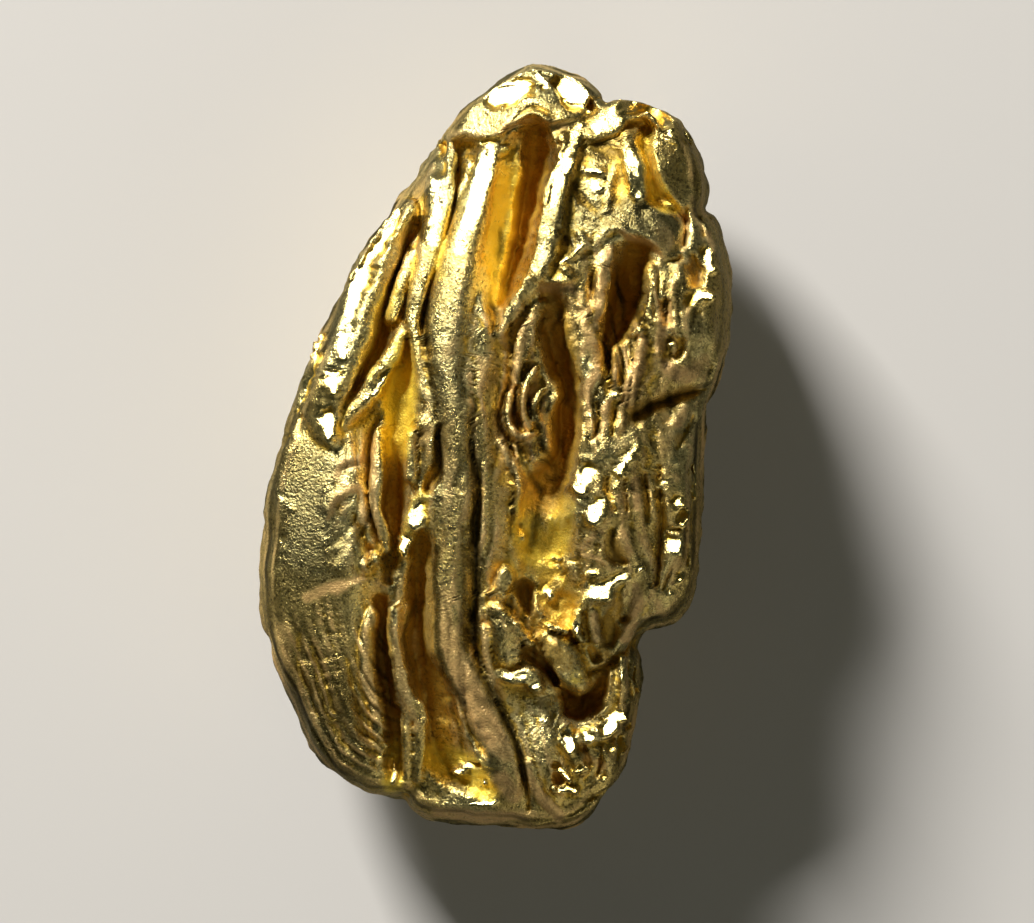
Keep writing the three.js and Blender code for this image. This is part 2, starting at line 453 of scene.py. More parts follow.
# The broad masses of the upper side.
MASSES = (
    swell((-0.9, 8.0, 0.7, 0.1), (0.3, 8.45, 0.9, 0.3), (1.7, 8.5, 0.8, 0.25)),
    swell((3.3, 7.6, 0.9, 0.15), (4.1, 6.9, 1.1, 0.25), (4.1, 5.9, 1.0, 0.2)),
    swell((4.9, 4.9, 0.8, 0.2), (4.7, 2.9, 1.2, 0.4), (4.5, 2.1, 0.9, 0.2)),
    swell((4.5, 0.4, 0.7, 0.1), (4.3, -1.8, 1.0, 0.3), (4.1, -3.4, 0.7, 0.1)),
    swell((-4.4, -1.0, 1.4, 0.1), (-4.4, -2.6, 1.5, 0.2), (-4.2, -4.4, 1.2, 0.0)),
    swell((-1.0, 5.0, 1.2, 0.1), (-1.2, 2.0, 1.3, 0.3), (-1.0, -3.0, 1.2, 0.3)),
    swell((2.9, -0.4, 0.9, 0.25), (2.8, -1.6, 0.9, 0.3), (2.9, -3.4, 0.9, 0.25)),
    cut((1.0, -3.4, 1.7, 0.35), (1.6, -6.4, 1.6, 0.35), (1.8, -8.0, 1.2, 0.1)),
    cut(
        (-1.3, 7.2, 0.5, 0.2), (-2.2, 4.6, 1.1, 0.45), (-2.75, 2.0, 1.2, 0.5), (-2.5, -1.0, 1.0, 0.45),
        (-2.4, -4.4, 1.1, 0.5), (-2.2, -6.8, 1.3, 0.5), (-1.6, -8.2, 1.1, 0.3),
    ),
    cut((0.6, 3.2, 0.8, 0.2), (0.8, 1.0, 1.2, 0.5), (0.9, -1.6, 1.2, 0.25), (0.6, -3.8, 0.9, 0.1)),
)

# The furrows and ribs of the left half, from the edge inwards.
LEFT_FOLDS = (
    crease(
        (-3.75, 3.8, 0.2, 0.12), (-4.05, 2.7, 0.25, 0.35), (-4.45, 1.7, 0.25, 0.35),
        (-4.9, 0.4, 0.2, 0.15),
    ),
    rib(
        (-4.0, 3.3, 0.12, 0.0), (-4.42, 2.3, 0.2, 0.12), (-4.7, 1.6, 0.2, 0.12), (-4.88, 0.9, 0.16, 0.05),
    ),
    rib((-5.1, 0.35, 0.16, 0.1)),
    rib((-5.3, -0.05, 0.13, 0.08)),
    cut(
        (-2.05, 5.5, 0.2, 0.3), (-2.5, 4.5, 0.32, 0.6), (-2.75, 3.5, 0.36, 0.75), (-2.97, 2.5, 0.36, 0.7),
        (-3.4, 1.7, 0.32, 0.5), (-3.8, 1.2, 0.22, 0.2),
    ),
    cut(
        (-2.2, 3.5, 0.14, 0.2), (-2.25, 2.9, 0.22, 0.35), (-2.3, 2.0, 0.38, 0.35),
        (-2.37, 1.2, 0.42, 0.32), (-2.4, 0.3, 0.42, 0.4), (-2.5, -0.5, 0.42, 0.7),
        (-2.55, -1.3, 0.38, 0.85), (-2.55, -2.2, 0.28, 0.6), (-2.7, -3.2, 0.14, 0.25),
    ),
    rib(
        (-2.3, 5.95, 0.3, 0.2), (-2.85, 5.2, 0.5, 0.4), (-3.18, 4.4, 0.56, 0.45), (-3.48, 3.6, 0.56, 0.5),
        (-3.8, 2.6, 0.54, 0.5), (-4.08, 1.7, 0.5, 0.5), (-4.27, 1.0, 0.46, 0.45),
        (-4.25, 0.45, 0.36, 0.35), (-4.0, 0.12, 0.24, 0.2),
    ),
    rib((-1.85, 4.85, 0.1, 0.0), (-2.1, 4.6, 0.15, 0.1), (-2.35, 4.0, 0.16, 0.1), (-2.6, 3.2, 0.15, 0.0)),
    rib(
        (-2.25, 3.05, 0.12, 0.0), (-2.5, 2.4, 0.17, 0.08), (-2.9, 1.8, 0.2, 0.08),
        (-3.3, 1.2, 0.24, 0.08), (-3.7, 0.8, 0.24, 0.08), (-3.92, 0.4, 0.16, 0.05),
    ),
    crease(
        (-2.85, 1.0, 0.15, 0.1), (-3.15, 0.0, 0.22, 0.45), (-3.17, -1.0, 0.22, 0.45),
        (-2.95, -2.3, 0.15, 0.2),
    ),
    rib(
        (-2.9, 0.4, 0.1, 0.0), (-3.0, -0.7, 0.14, 0.1), (-2.93, -1.6, 0.13, 0.08),
        (-2.75, -2.5, 0.1, 0.0),
    ),
    cut(
        (-0.8, 7.45, 0.36, 0.5), (-0.92, 7.0, 0.26, 0.65), (-1.08, 6.0, 0.2, 0.6),
        (-1.2, 5.2, 0.18, 0.55), (-1.35, 4.4, 0.18, 0.5), (-1.65, 3.5, 0.16, 0.4),
        (-1.72, 2.8, 0.12, 0.2),
    ),
    crease(
        (-1.75, 5.9, 0.15, 0.25), (-1.82, 4.8, 0.18, 0.35), (-2.2, 3.3, 0.15, 0.3),
        (-1.98, 2.0, 0.12, 0.2),
    ),
    rib(
        (-1.3, 7.6, 0.24, 0.1), (-1.38, 6.5, 0.31, 0.35), (-1.42, 6.0, 0.3, 0.4), (-1.58, 5.0, 0.27, 0.4),
        (-1.93, 3.9, 0.23, 0.32), (-2.06, 3.1, 0.19, 0.25), (-1.92, 2.3, 0.16, 0.2),
        (-1.85, 1.3, 0.15, 0.15),
    ),
    rib((-1.75, 0.6, 0.3, 0.2)),
    rib((-2.1, 0.3, 0.12, 0.05), (-2.1, -0.8, 0.12, 0.0)),
    cut((-1.38, 0.4, 0.16, 0.35), (-1.42, -0.4, 0.2, 0.5), (-1.7, -1.0, 0.18, 0.35)),
)

# The long central spine, the deep pit beside it and the folds that frame the pit.
SPINE_AND_PIT = (
    cut(
        (0.85, 7.8, 0.42, 0.4), (0.72, 7.3, 0.66, 0.5), (0.6, 6.5, 0.7, 0.6), (0.45, 5.7, 0.72, 0.6),
        (0.3, 4.9, 0.7, 0.6), (0.12, 4.2, 0.55, 0.6), (0.0, 3.5, 0.34, 0.5), (0.0, 2.9, 0.16, 0.3),
    ),
    cut(
        (1.05, 7.75, 0.32, 0.4), (1.0, 7.3, 0.42, 0.7), (0.86, 6.5, 0.4, 0.95), (0.74, 5.7, 0.36, 1.0),
        (0.58, 4.9, 0.34, 0.9), (0.36, 4.2, 0.28, 0.7), (0.16, 3.6, 0.2, 0.4),
    ),
    lip(
        (-1.2, 7.72, 0.5, 0.15), (-0.1, 7.62, 0.6, 0.3), (0.3, 7.9, 0.6, 0.35), (0.85, 8.22, 0.6, 0.35),
        (1.35, 8.02, 0.6, 0.3), (2.0, 8.1, 0.5, 0.1),
    ),
    crease((0.2, 7.85, 0.14, 0.15), (0.85, 8.42, 0.16, 0.2), (1.5, 8.15, 0.14, 0.15)),
    cut((2.2, 8.45, 0.22, 0.3)),
    crease((2.25, 8.5, 0.14, 0.2), (2.7, 8.7, 0.14, 0.2)),
    rib(
        (0.15, 7.4, 0.14, 0.0), (-0.2, 7.25, 0.26, 0.25), (-0.45, 6.4, 0.36, 0.45),
        (-0.75, 5.2, 0.46, 0.55), (-1.0, 4.2, 0.5, 0.58), (-1.2, 3.1, 0.52, 0.55), (-1.2, 2.0, 0.5, 0.5),
        (-0.98, 0.7, 0.45, 0.48), (-0.9, -0.5, 0.43, 0.45), (-0.95, -1.8, 0.45, 0.45),
        (-1.1, -3.2, 0.48, 0.45), (-1.15, -4.3, 0.46, 0.45), (-1.0, -5.1, 0.43, 0.42),
        (-0.5, -6.0, 0.45, 0.42), (-0.1, -7.0, 0.5, 0.38), (0.2, -7.7, 0.5, 0.3), (0.3, -8.6, 0.42, 0.1),
    ),
    rib((-0.72, 7.05, 0.1, 0.05), (-0.95, 5.9, 0.1, 0.12), (-1.05, 5.2, 0.1, 0.1)),
    rib(
        (2.05, 8.0, 0.22, 0.15), (1.78, 7.3, 0.28, 0.3), (1.52, 6.4, 0.26, 0.38), (1.36, 5.5, 0.26, 0.4),
        (1.15, 4.6, 0.24, 0.38), (0.75, 3.9, 0.2, 0.3), (0.45, 3.5, 0.17, 0.25), (0.08, 2.75, 0.12, 0.15),
    ),
    rib((1.65, 7.65, 0.17, 0.3)),
    crease(
        (-0.6, 0.9, 0.15, 0.15), (-0.62, -0.1, 0.2, 0.4), (-0.45, -1.0, 0.2, 0.4),
        (-0.5, -2.5, 0.2, 0.35), (-0.55, -4.0, 0.2, 0.35), (-0.5, -5.2, 0.2, 0.35),
        (-0.05, -6.2, 0.2, 0.35), (0.42, -7.1, 0.2, 0.35), (0.66, -8.0, 0.18, 0.3),
        (0.8, -9.0, 0.15, 0.15),
    ),
    rib((-0.3, -4.5, 0.1, 0.1), (-0.1, -5.8, 0.1, 0.1)),
    rib((0.8, -7.8, 0.12, 0.1), (1.05, -8.6, 0.15, 0.12), (1.7, -9.2, 0.1, 0.0)),
    crease((-0.78, -6.0, 0.15, 0.2), (-0.68, -7.0, 0.18, 0.3), (-0.25, -7.6, 0.15, 0.2)),
)

# The upper right lobe, and the cavity and ribs under its brow.
UPPER_RIGHT = (
    cut((2.25, 8.5, 0.16, 0.3), (2.4, 8.3, 0.14, 0.25)),
    cut((2.5, 7.5, 0.2, 0.12), (2.75, 7.3, 0.3, 0.15)),
    cut((3.2, 8.0, 0.14, 0.15), (3.5, 8.02, 0.16, 0.18), (3.7, 7.85, 0.14, 0.2)),
    cut(
        (3.65, 7.8, 0.22, 0.4), (3.62, 7.2, 0.26, 0.55), (3.75, 6.7, 0.26, 0.6), (3.98, 6.15, 0.26, 0.6),
        (4.4, 5.85, 0.18, 0.45), (4.62, 5.6, 0.14, 0.3),
    ),
    rib(
        (2.35, 7.8, 0.26, 0.25), (2.75, 8.05, 0.36, 0.4), (3.1, 8.35, 0.3, 0.42), (3.6, 8.42, 0.28, 0.42),
        (4.0, 8.2, 0.28, 0.4), (4.3, 7.85, 0.24, 0.35), (4.45, 7.45, 0.16, 0.2),
    ),
    rib((3.2, 7.75, 0.16, 0.3), (3.3, 7.2, 0.24, 0.45), (3.42, 6.7, 0.25, 0.48), (3.55, 6.2, 0.18, 0.35)),
    rib((2.95, 7.1, 0.09, 0.08), (2.82, 6.6, 0.1, 0.12), (2.75, 6.1, 0.1, 0.12), (2.7, 5.85, 0.09, 0.1)),
    rib((2.15, 6.85, 0.1, 0.1), (2.6, 6.8, 0.1, 0.12)),
    crease((1.75, 6.75, 0.16, 0.1), (2.05, 6.2, 0.2, 0.2), (2.4, 5.9, 0.16, 0.15)),
    crease(
        (4.68, 5.9, 0.16, 0.3), (4.62, 5.3, 0.22, 0.45), (4.55, 4.7, 0.2, 0.3), (4.2, 4.55, 0.14, 0.15),
    ),
    rib((4.6, 7.85, 0.12, 0.25), (4.85, 7.6, 0.13, 0.25)),
    rib((4.55, 7.05, 0.12, 0.12), (4.65, 6.8, 0.12, 0.1)),
    rib((2.05, 5.25, 0.12, 0.15), (2.15, 5.0, 0.12, 0.15), (1.85, 4.7, 0.12, 0.12)),
    crease((1.5, 5.4, 0.14, 0.15), (1.75, 4.95, 0.14, 0.2), (1.5, 4.6, 0.12, 0.1)),
    rib((1.7, 4.35, 0.12, 0.22)),
    lip((1.0, 4.05, 0.5, 0.1), (1.5, 4.02, 0.6, 0.3), (2.0, 4.12, 0.5, 0.2), (2.15, 4.5, 0.4, 0.1)),
    cut(
        (3.35, 4.75, 0.5, 0.6), (3.3, 4.2, 0.55, 1.3), (3.12, 3.5, 0.5, 1.6), (2.9, 2.9, 0.38, 1.5),
        (2.68, 2.3, 0.22, 1.2), (2.76, 1.8, 0.12, 0.4),
    ),
    lip(
        (2.45, 4.9, 0.4, 0.1), (2.75, 5.3, 0.6, 0.25), (3.05, 5.32, 0.8, 0.35), (3.4, 5.08, 0.8, 0.35),
        (3.8, 4.95, 0.8, 0.3), (4.1, 4.65, 0.5, 0.1),
    ),
    crease((2.2, 4.8, 0.14, 0.2), (2.33, 4.0, 0.18, 0.4), (2.28, 3.2, 0.14, 0.3)),
    rib(
        (2.75, 4.95, 0.14, 0.05), (2.62, 4.2, 0.18, 0.08), (2.53, 3.5, 0.16, 0.0),
        (2.42, 2.8, 0.14, -0.1), (2.6, 1.8, 0.12, -0.1),
    ),
    rib((2.3, 4.7, 0.1, 0.0), (2.07, 3.9, 0.16, 0.05), (2.15, 3.0, 0.16, 0.0), (2.4, 2.1, 0.13, -0.1)),
)

# The valley between the spine and the right mass, and the thin folds on its left side.
VALLEY = (
    cut(
        (1.3, 3.6, 0.45, 0.5), (1.45, 2.8, 0.5, 0.9), (1.65, 2.0, 0.42, 1.3), (1.8, 1.5, 0.36, 1.5),
        (1.7, 0.6, 0.36, 1.3), (1.6, -0.3, 0.42, 1.0), (1.25, -1.0, 0.7, 0.75), (1.05, -1.7, 0.75, 0.5),
        (1.15, -2.4, 0.8, 0.35), (1.2, -2.95, 0.6, 0.2),
    ),
    rib(
        (1.95, 4.0, 0.13, -0.1), (1.82, 3.2, 0.17, -0.1), (2.0, 2.4, 0.17, -0.15), (2.3, 1.6, 0.15, -0.2),
    ),
    rib(
        (1.0, 3.9, 0.11, -0.05), (0.75, 3.1, 0.13, 0.05), (0.5, 2.2, 0.12, 0.05), (0.5, 1.6, 0.09, -0.05),
    ),
    rib(
        (0.95, 1.95, 0.08, -0.15), (0.66, 1.5, 0.11, 0.02), (0.62, 1.0, 0.12, 0.02),
        (0.82, 0.55, 0.09, -0.1),
    ),
    rib((1.12, 1.45, 0.07, -0.2), (0.92, 1.1, 0.09, -0.08), (0.98, 0.7, 0.08, -0.15)),
    rib(
        (0.3, 1.3, 0.1, 0.0), (0.25, 0.7, 0.12, 0.05), (0.55, 0.3, 0.12, 0.02), (0.95, 0.35, 0.08, -0.15),
    ),
    rib(
        (0.1, 0.2, 0.1, 0.0), (0.35, -0.3, 0.13, 0.05), (0.55, -0.9, 0.11, -0.02),
        (0.45, -1.5, 0.08, -0.1),
    ),
    rib((1.15, 3.6, 0.1, -0.1), (0.85, 2.9, 0.13, 0.0), (0.62, 2.2, 0.12, 0.0)),
    crease((0.3, 1.6, 0.14, 0.15), (0.08, 0.8, 0.2, 0.4), (0.45, -0.2, 0.16, 0.3)),
    crease((0.75, 1.9, 0.08, 0.15), (0.4, 1.1, 0.1, 0.2), (0.55, 0.6, 0.08, 0.15)),
    crease((0.2, 0.5, 0.08, 0.15), (0.6, 0.0, 0.1, 0.2), (0.8, -0.5, 0.08, 0.15)),
    rib((-0.3, 2.3, 0.2, 0.05), (-0.35, 1.7, 0.25, 0.1), (-0.3, 1.0, 0.2, 0.05)),
)

# The crumpled right mass and the lobe below it.
RIGHT_MASS = (
    rib((5.2, 5.75, 0.13, 0.1), (5.3, 5.5, 0.13, 0.1)),
    crease((4.95, 5.7, 0.14, 0.2), (5.05, 5.2, 0.14, 0.25)),
    cut((4.7, 4.75, 0.16, 0.25), (4.9, 4.45, 0.28, 0.4), (4.95, 4.1, 0.26, 0.4)),
    rib((5.05, 4.95, 0.14, 0.15), (5.28, 4.65, 0.2, 0.22), (5.4, 4.2, 0.14, 0.15)),
    rib((4.65, 4.85, 0.12, 0.2), (4.72, 4.6, 0.1, 0.15)),
    rib((3.8, 4.4, 0.13, 0.2), (3.85, 4.0, 0.14, 0.25), (3.76, 3.3, 0.16, 0.2)),
    cut((4.15, 3.6, 0.14, 0.2), (4.2, 3.0, 0.14, 0.25), (4.1, 2.7, 0.12, 0.2)),
    rib((4.0, 3.4, 0.12, 0.15), (4.05, 2.8, 0.13, 0.2), (4.0, 2.3, 0.14, 0.2)),
    rib((3.3, 2.8, 0.12, 0.2), (3.58, 2.9, 0.13, 0.25)),
    cut((4.35, 2.45, 0.42, 0.3)),
    rib(
        (4.05, 2.75, 0.13, 0.2), (4.35, 2.92, 0.14, 0.3), (4.7, 2.7, 0.15, 0.3), (4.8, 2.35, 0.15, 0.3),
        (4.55, 2.05, 0.14, 0.25),
    ),
    rib((4.33, 2.45, 0.14, 0.2)),
    rib((3.58, 2.6, 0.16, 0.2), (3.48, 2.0, 0.18, 0.25), (3.32, 1.5, 0.2, 0.25), (3.28, 1.1, 0.16, 0.15)),
    rib((2.98, 2.4, 0.11, 0.1), (2.92, 1.9, 0.12, 0.15), (2.95, 1.25, 0.14, 0.15)),
    crease((3.4, 0.8, 0.35, 0.5), (4.2, 1.2, 0.4, 0.7), (5.2, 1.5, 0.3, 0.4)),
    rib((2.4, 1.4, 0.12, 0.0), (2.15, 0.95, 0.13, 0.0), (2.3, 0.5, 0.13, 0.05), (2.15, 0.15, 0.11, 0.0)),
    rib((2.65, 1.1, 0.11, 0.05), (2.72, 0.7, 0.12, 0.08), (2.5, 0.25, 0.12, 0.05)),
    rib((3.05, 1.0, 0.11, 0.05), (3.12, 0.4, 0.13, 0.08)),
    crease((2.45, 1.1, 0.1, 0.2), (2.5, 0.6, 0.12, 0.25), (2.35, 0.2, 0.1, 0.2)),
    crease((2.9, 0.9, 0.1, 0.2), (2.85, 0.3, 0.12, 0.25)),
    crease((4.9, 1.1, 0.14, 0.15), (4.65, 0.4, 0.2, 0.25), (4.45, 0.0, 0.16, 0.2)),
    rib(
        (5.05, 0.8, 0.14, 0.1), (4.8, 0.2, 0.14, 0.15), (4.85, -0.5, 0.13, 0.18), (4.9, -1.2, 0.12, 0.15),
        (4.85, -2.2, 0.13, 0.1), (4.75, -3.0, 0.12, 0.1),
    ),
    rib((4.62, 1.0, 0.12, 0.15), (4.4, 0.6, 0.14, 0.2)),
    rib((4.4, -0.3, 0.16, 0.22)),
    crease((4.75, -0.5, 0.1, 0.2), (4.75, -1.5, 0.12, 0.25), (4.72, -2.9, 0.1, 0.2)),
    crease(
        (4.0, -0.4, 0.2, 0.3), (4.05, -1.6, 0.25, 0.45), (4.02, -2.6, 0.25, 0.45), (3.9, -3.6, 0.2, 0.3),
    ),
    rib((4.42, -1.1, 0.18, 0.25), (4.5, -1.7, 0.2, 0.3), (4.42, -2.5, 0.26, 0.35), (4.4, -3.1, 0.2, 0.2)),
    crease((4.2, -2.0, 0.12, 0.25), (4.7, -2.0, 0.12, 0.25)),
    rib((4.6, -3.15, 0.1, 0.15), (4.35, -3.45, 0.12, 0.15), (4.2, -3.75, 0.12, 0.12)),
    crease((4.3, -3.0, 0.1, 0.15), (4.1, -3.5, 0.12, 0.2)),
)

# The ribbed mass right of the valley.
MIDDLE_MASS = (
    rib((3.5, 0.15, 0.14, 0.15), (3.3, -0.2, 0.2, 0.22), (3.0, -0.65, 0.16, 0.15)),
    rib((2.9, -0.22, 0.09, 0.12), (2.65, -0.38, 0.09, 0.12), (2.4, -0.27, 0.08, 0.08)),
    rib((2.45, -0.55, 0.14, 0.1), (2.2, -0.75, 0.2, 0.12), (1.98, -1.0, 0.13, 0.05)),
    rib((2.75, -1.0, 0.1, 0.1), (2.6, -1.35, 0.2, 0.15), (2.35, -1.75, 0.2, 0.12)),
    crease((2.72, -0.65, 0.12, 0.25), (2.78, -1.2, 0.14, 0.3), (2.9, -1.5, 0.1, 0.25)),
    rib((3.08, -0.95, 0.09, 0.15), (3.02, -1.45, 0.09, 0.12)),
    crease((3.15, -0.75, 0.12, 0.25), (3.2, -1.5, 0.12, 0.3)),
    rib((3.42, -0.75, 0.12, 0.18), (3.46, -1.5, 0.12, 0.18)),
    crease((3.62, -0.6, 0.14, 0.25), (3.72, -1.3, 0.16, 0.35), (3.7, -1.8, 0.12, 0.2)),
    rib((2.7, -1.68, 0.07, 0.08), (3.3, -1.62, 0.07, 0.1)),
    rib((3.85, 0.1, 0.12, 0.15), (3.9, -0.8, 0.12, 0.15), (3.85, -1.6, 0.12, 0.15)),
    cut((2.88, -2.0, 0.1, 0.15), (2.8, -2.6, 0.2, 0.2), (3.1, -2.8, 0.14, 0.2)),
    rib((2.62, -1.95, 0.1, 0.08), (2.1, -2.45, 0.12, 0.0)),
    rib((3.08, -1.95, 0.1, 0.15), (3.15, -2.3, 0.1, 0.15), (3.28, -2.65, 0.1, 0.12)),
    rib((3.5, -2.05, 0.12, 0.2), (3.78, -2.55, 0.13, 0.18)),
    rib((2.05, -2.6, 0.07, 0.0), (2.45, -2.72, 0.08, 0.05), (2.78, -3.0, 0.08, 0.08)),
    rib((3.65, -2.7, 0.12, 0.2), (3.5, -2.95, 0.14, 0.25)),
    rib(
        (3.15, -3.2, 0.16, 0.25), (2.8, -3.4, 0.18, 0.25), (2.45, -3.65, 0.2, 0.2),
        (2.1, -3.95, 0.14, 0.05),
    ),
    rib((2.3, -3.1, 0.13, 0.1)),
    cut((3.0, -3.75, 0.16, 0.15), (2.85, -4.3, 0.25, 0.22), (2.8, -4.8, 0.2, 0.25)),
    rib((3.4, -3.3, 0.14, 0.2), (3.42, -3.9, 0.2, 0.25), (3.25, -4.6, 0.18, 0.15)),
    cut((3.15, -4.2, 0.14, 0.25)),
    rib((3.8, -3.5, 0.14, 0.2), (3.95, -4.1, 0.16, 0.1)),
    crease((3.65, -4.7, 0.3, 0.5), (2.95, -5.25, 0.3, 0.55), (2.3, -5.6, 0.25, 0.3)),
)

# The nodule, the tongue and the pit that it hangs over, and the ribs of the narrow end.
NARROW_END = (
    cut((0.68, -3.45, 0.26, 0.6), (0.78, -3.9, 0.18, 0.4)),
    cut((1.05, -3.6, 0.3, 0.2), (1.6, -3.9, 0.5, 0.25)),
    rib((0.2, -3.15, 0.18, 0.15), (0.1, -3.6, 0.2, 0.15)),
    rib((0.0, -4.05, 0.26, 0.18), (0.2, -4.55, 0.42, 0.22), (0.3, -5.05, 0.34, 0.1)),
    rib((0.1, -4.0, 0.1, 0.3), (0.45, -4.35, 0.12, 0.3), (0.8, -4.85, 0.1, 0.2)),
    cut((0.75, -5.05, 0.14, 0.4), (1.1, -5.35, 0.16, 0.6), (1.45, -5.75, 0.18, 0.8)),
    cut(
        (1.7, -6.1, 0.22, 0.9), (1.95, -6.4, 0.4, 1.15), (2.3, -6.3, 0.36, 1.1), (2.55, -5.95, 0.22, 0.7),
        (2.65, -5.6, 0.14, 0.3),
    ),
    rib(
        (1.25, -4.75, 0.2, 0.05), (1.5, -5.0, 0.36, 0.15), (1.8, -5.4, 0.32, 0.15),
        (2.08, -5.78, 0.2, 0.12),
    ),
    rib((1.25, -4.42, 0.08, 0.15), (1.65, -4.52, 0.09, 0.15)),
    rib((2.0, -4.15, 0.1, 0.15), (1.95, -4.5, 0.12, 0.18), (2.08, -4.75, 0.08, 0.12)),
    rib((2.4, -4.1, 0.16, 0.1), (2.45, -4.7, 0.15, 0.05)),
    cut((2.25, -4.95, 0.1, 0.15), (2.45, -5.2, 0.16, 0.3)),
    rib(
        (0.0, -5.55, 0.13, 0.05), (0.35, -5.65, 0.17, 0.12), (0.75, -5.6, 0.2, 0.15),
        (1.0, -5.9, 0.17, 0.12),
    ),
    swell((1.0, -6.3, 0.5, 0.1), (1.15, -7.4, 0.55, 0.25), (1.3, -8.2, 0.4, 0.1)),
    rib((3.12, -5.25, 0.1, 0.1), (3.12, -5.9, 0.12, 0.12), (3.1, -6.4, 0.1, 0.08)),
    rib((3.42, -5.35, 0.08, 0.05), (3.45, -6.1, 0.09, 0.05)),
    crease((3.28, -5.3, 0.08, 0.2), (3.28, -6.2, 0.1, 0.25)),
    rib(
        (3.05, -6.6, 0.2, 0.12), (2.75, -6.95, 0.22, 0.16), (2.3, -7.2, 0.17, 0.12),
        (1.95, -7.25, 0.14, 0.1),
    ),
    rib(
        (1.68, -7.0, 0.14, 0.12), (1.75, -7.4, 0.16, 0.15), (1.95, -7.8, 0.14, 0.15),
        (2.15, -8.05, 0.12, 0.1),
    ),
    crease((2.15, -7.5, 0.12, 0.2), (2.3, -7.9, 0.12, 0.2)),
    crease((2.9, -7.2, 0.12, 0.2), (2.6, -7.6, 0.12, 0.2), (2.5, -8.1, 0.12, 0.2)),
    rib((2.7, -7.5, 0.12, 0.1), (2.75, -8.0, 0.12, 0.08)),
    cut((1.5, -8.25, 0.18, 0.3)),
    rib((1.4, -8.5, 0.1, 0.1), (1.95, -8.5, 0.09, 0.1)),
    crease((2.9, -8.35, 0.2, 0.25), (2.3, -8.75, 0.2, 0.25)),
)

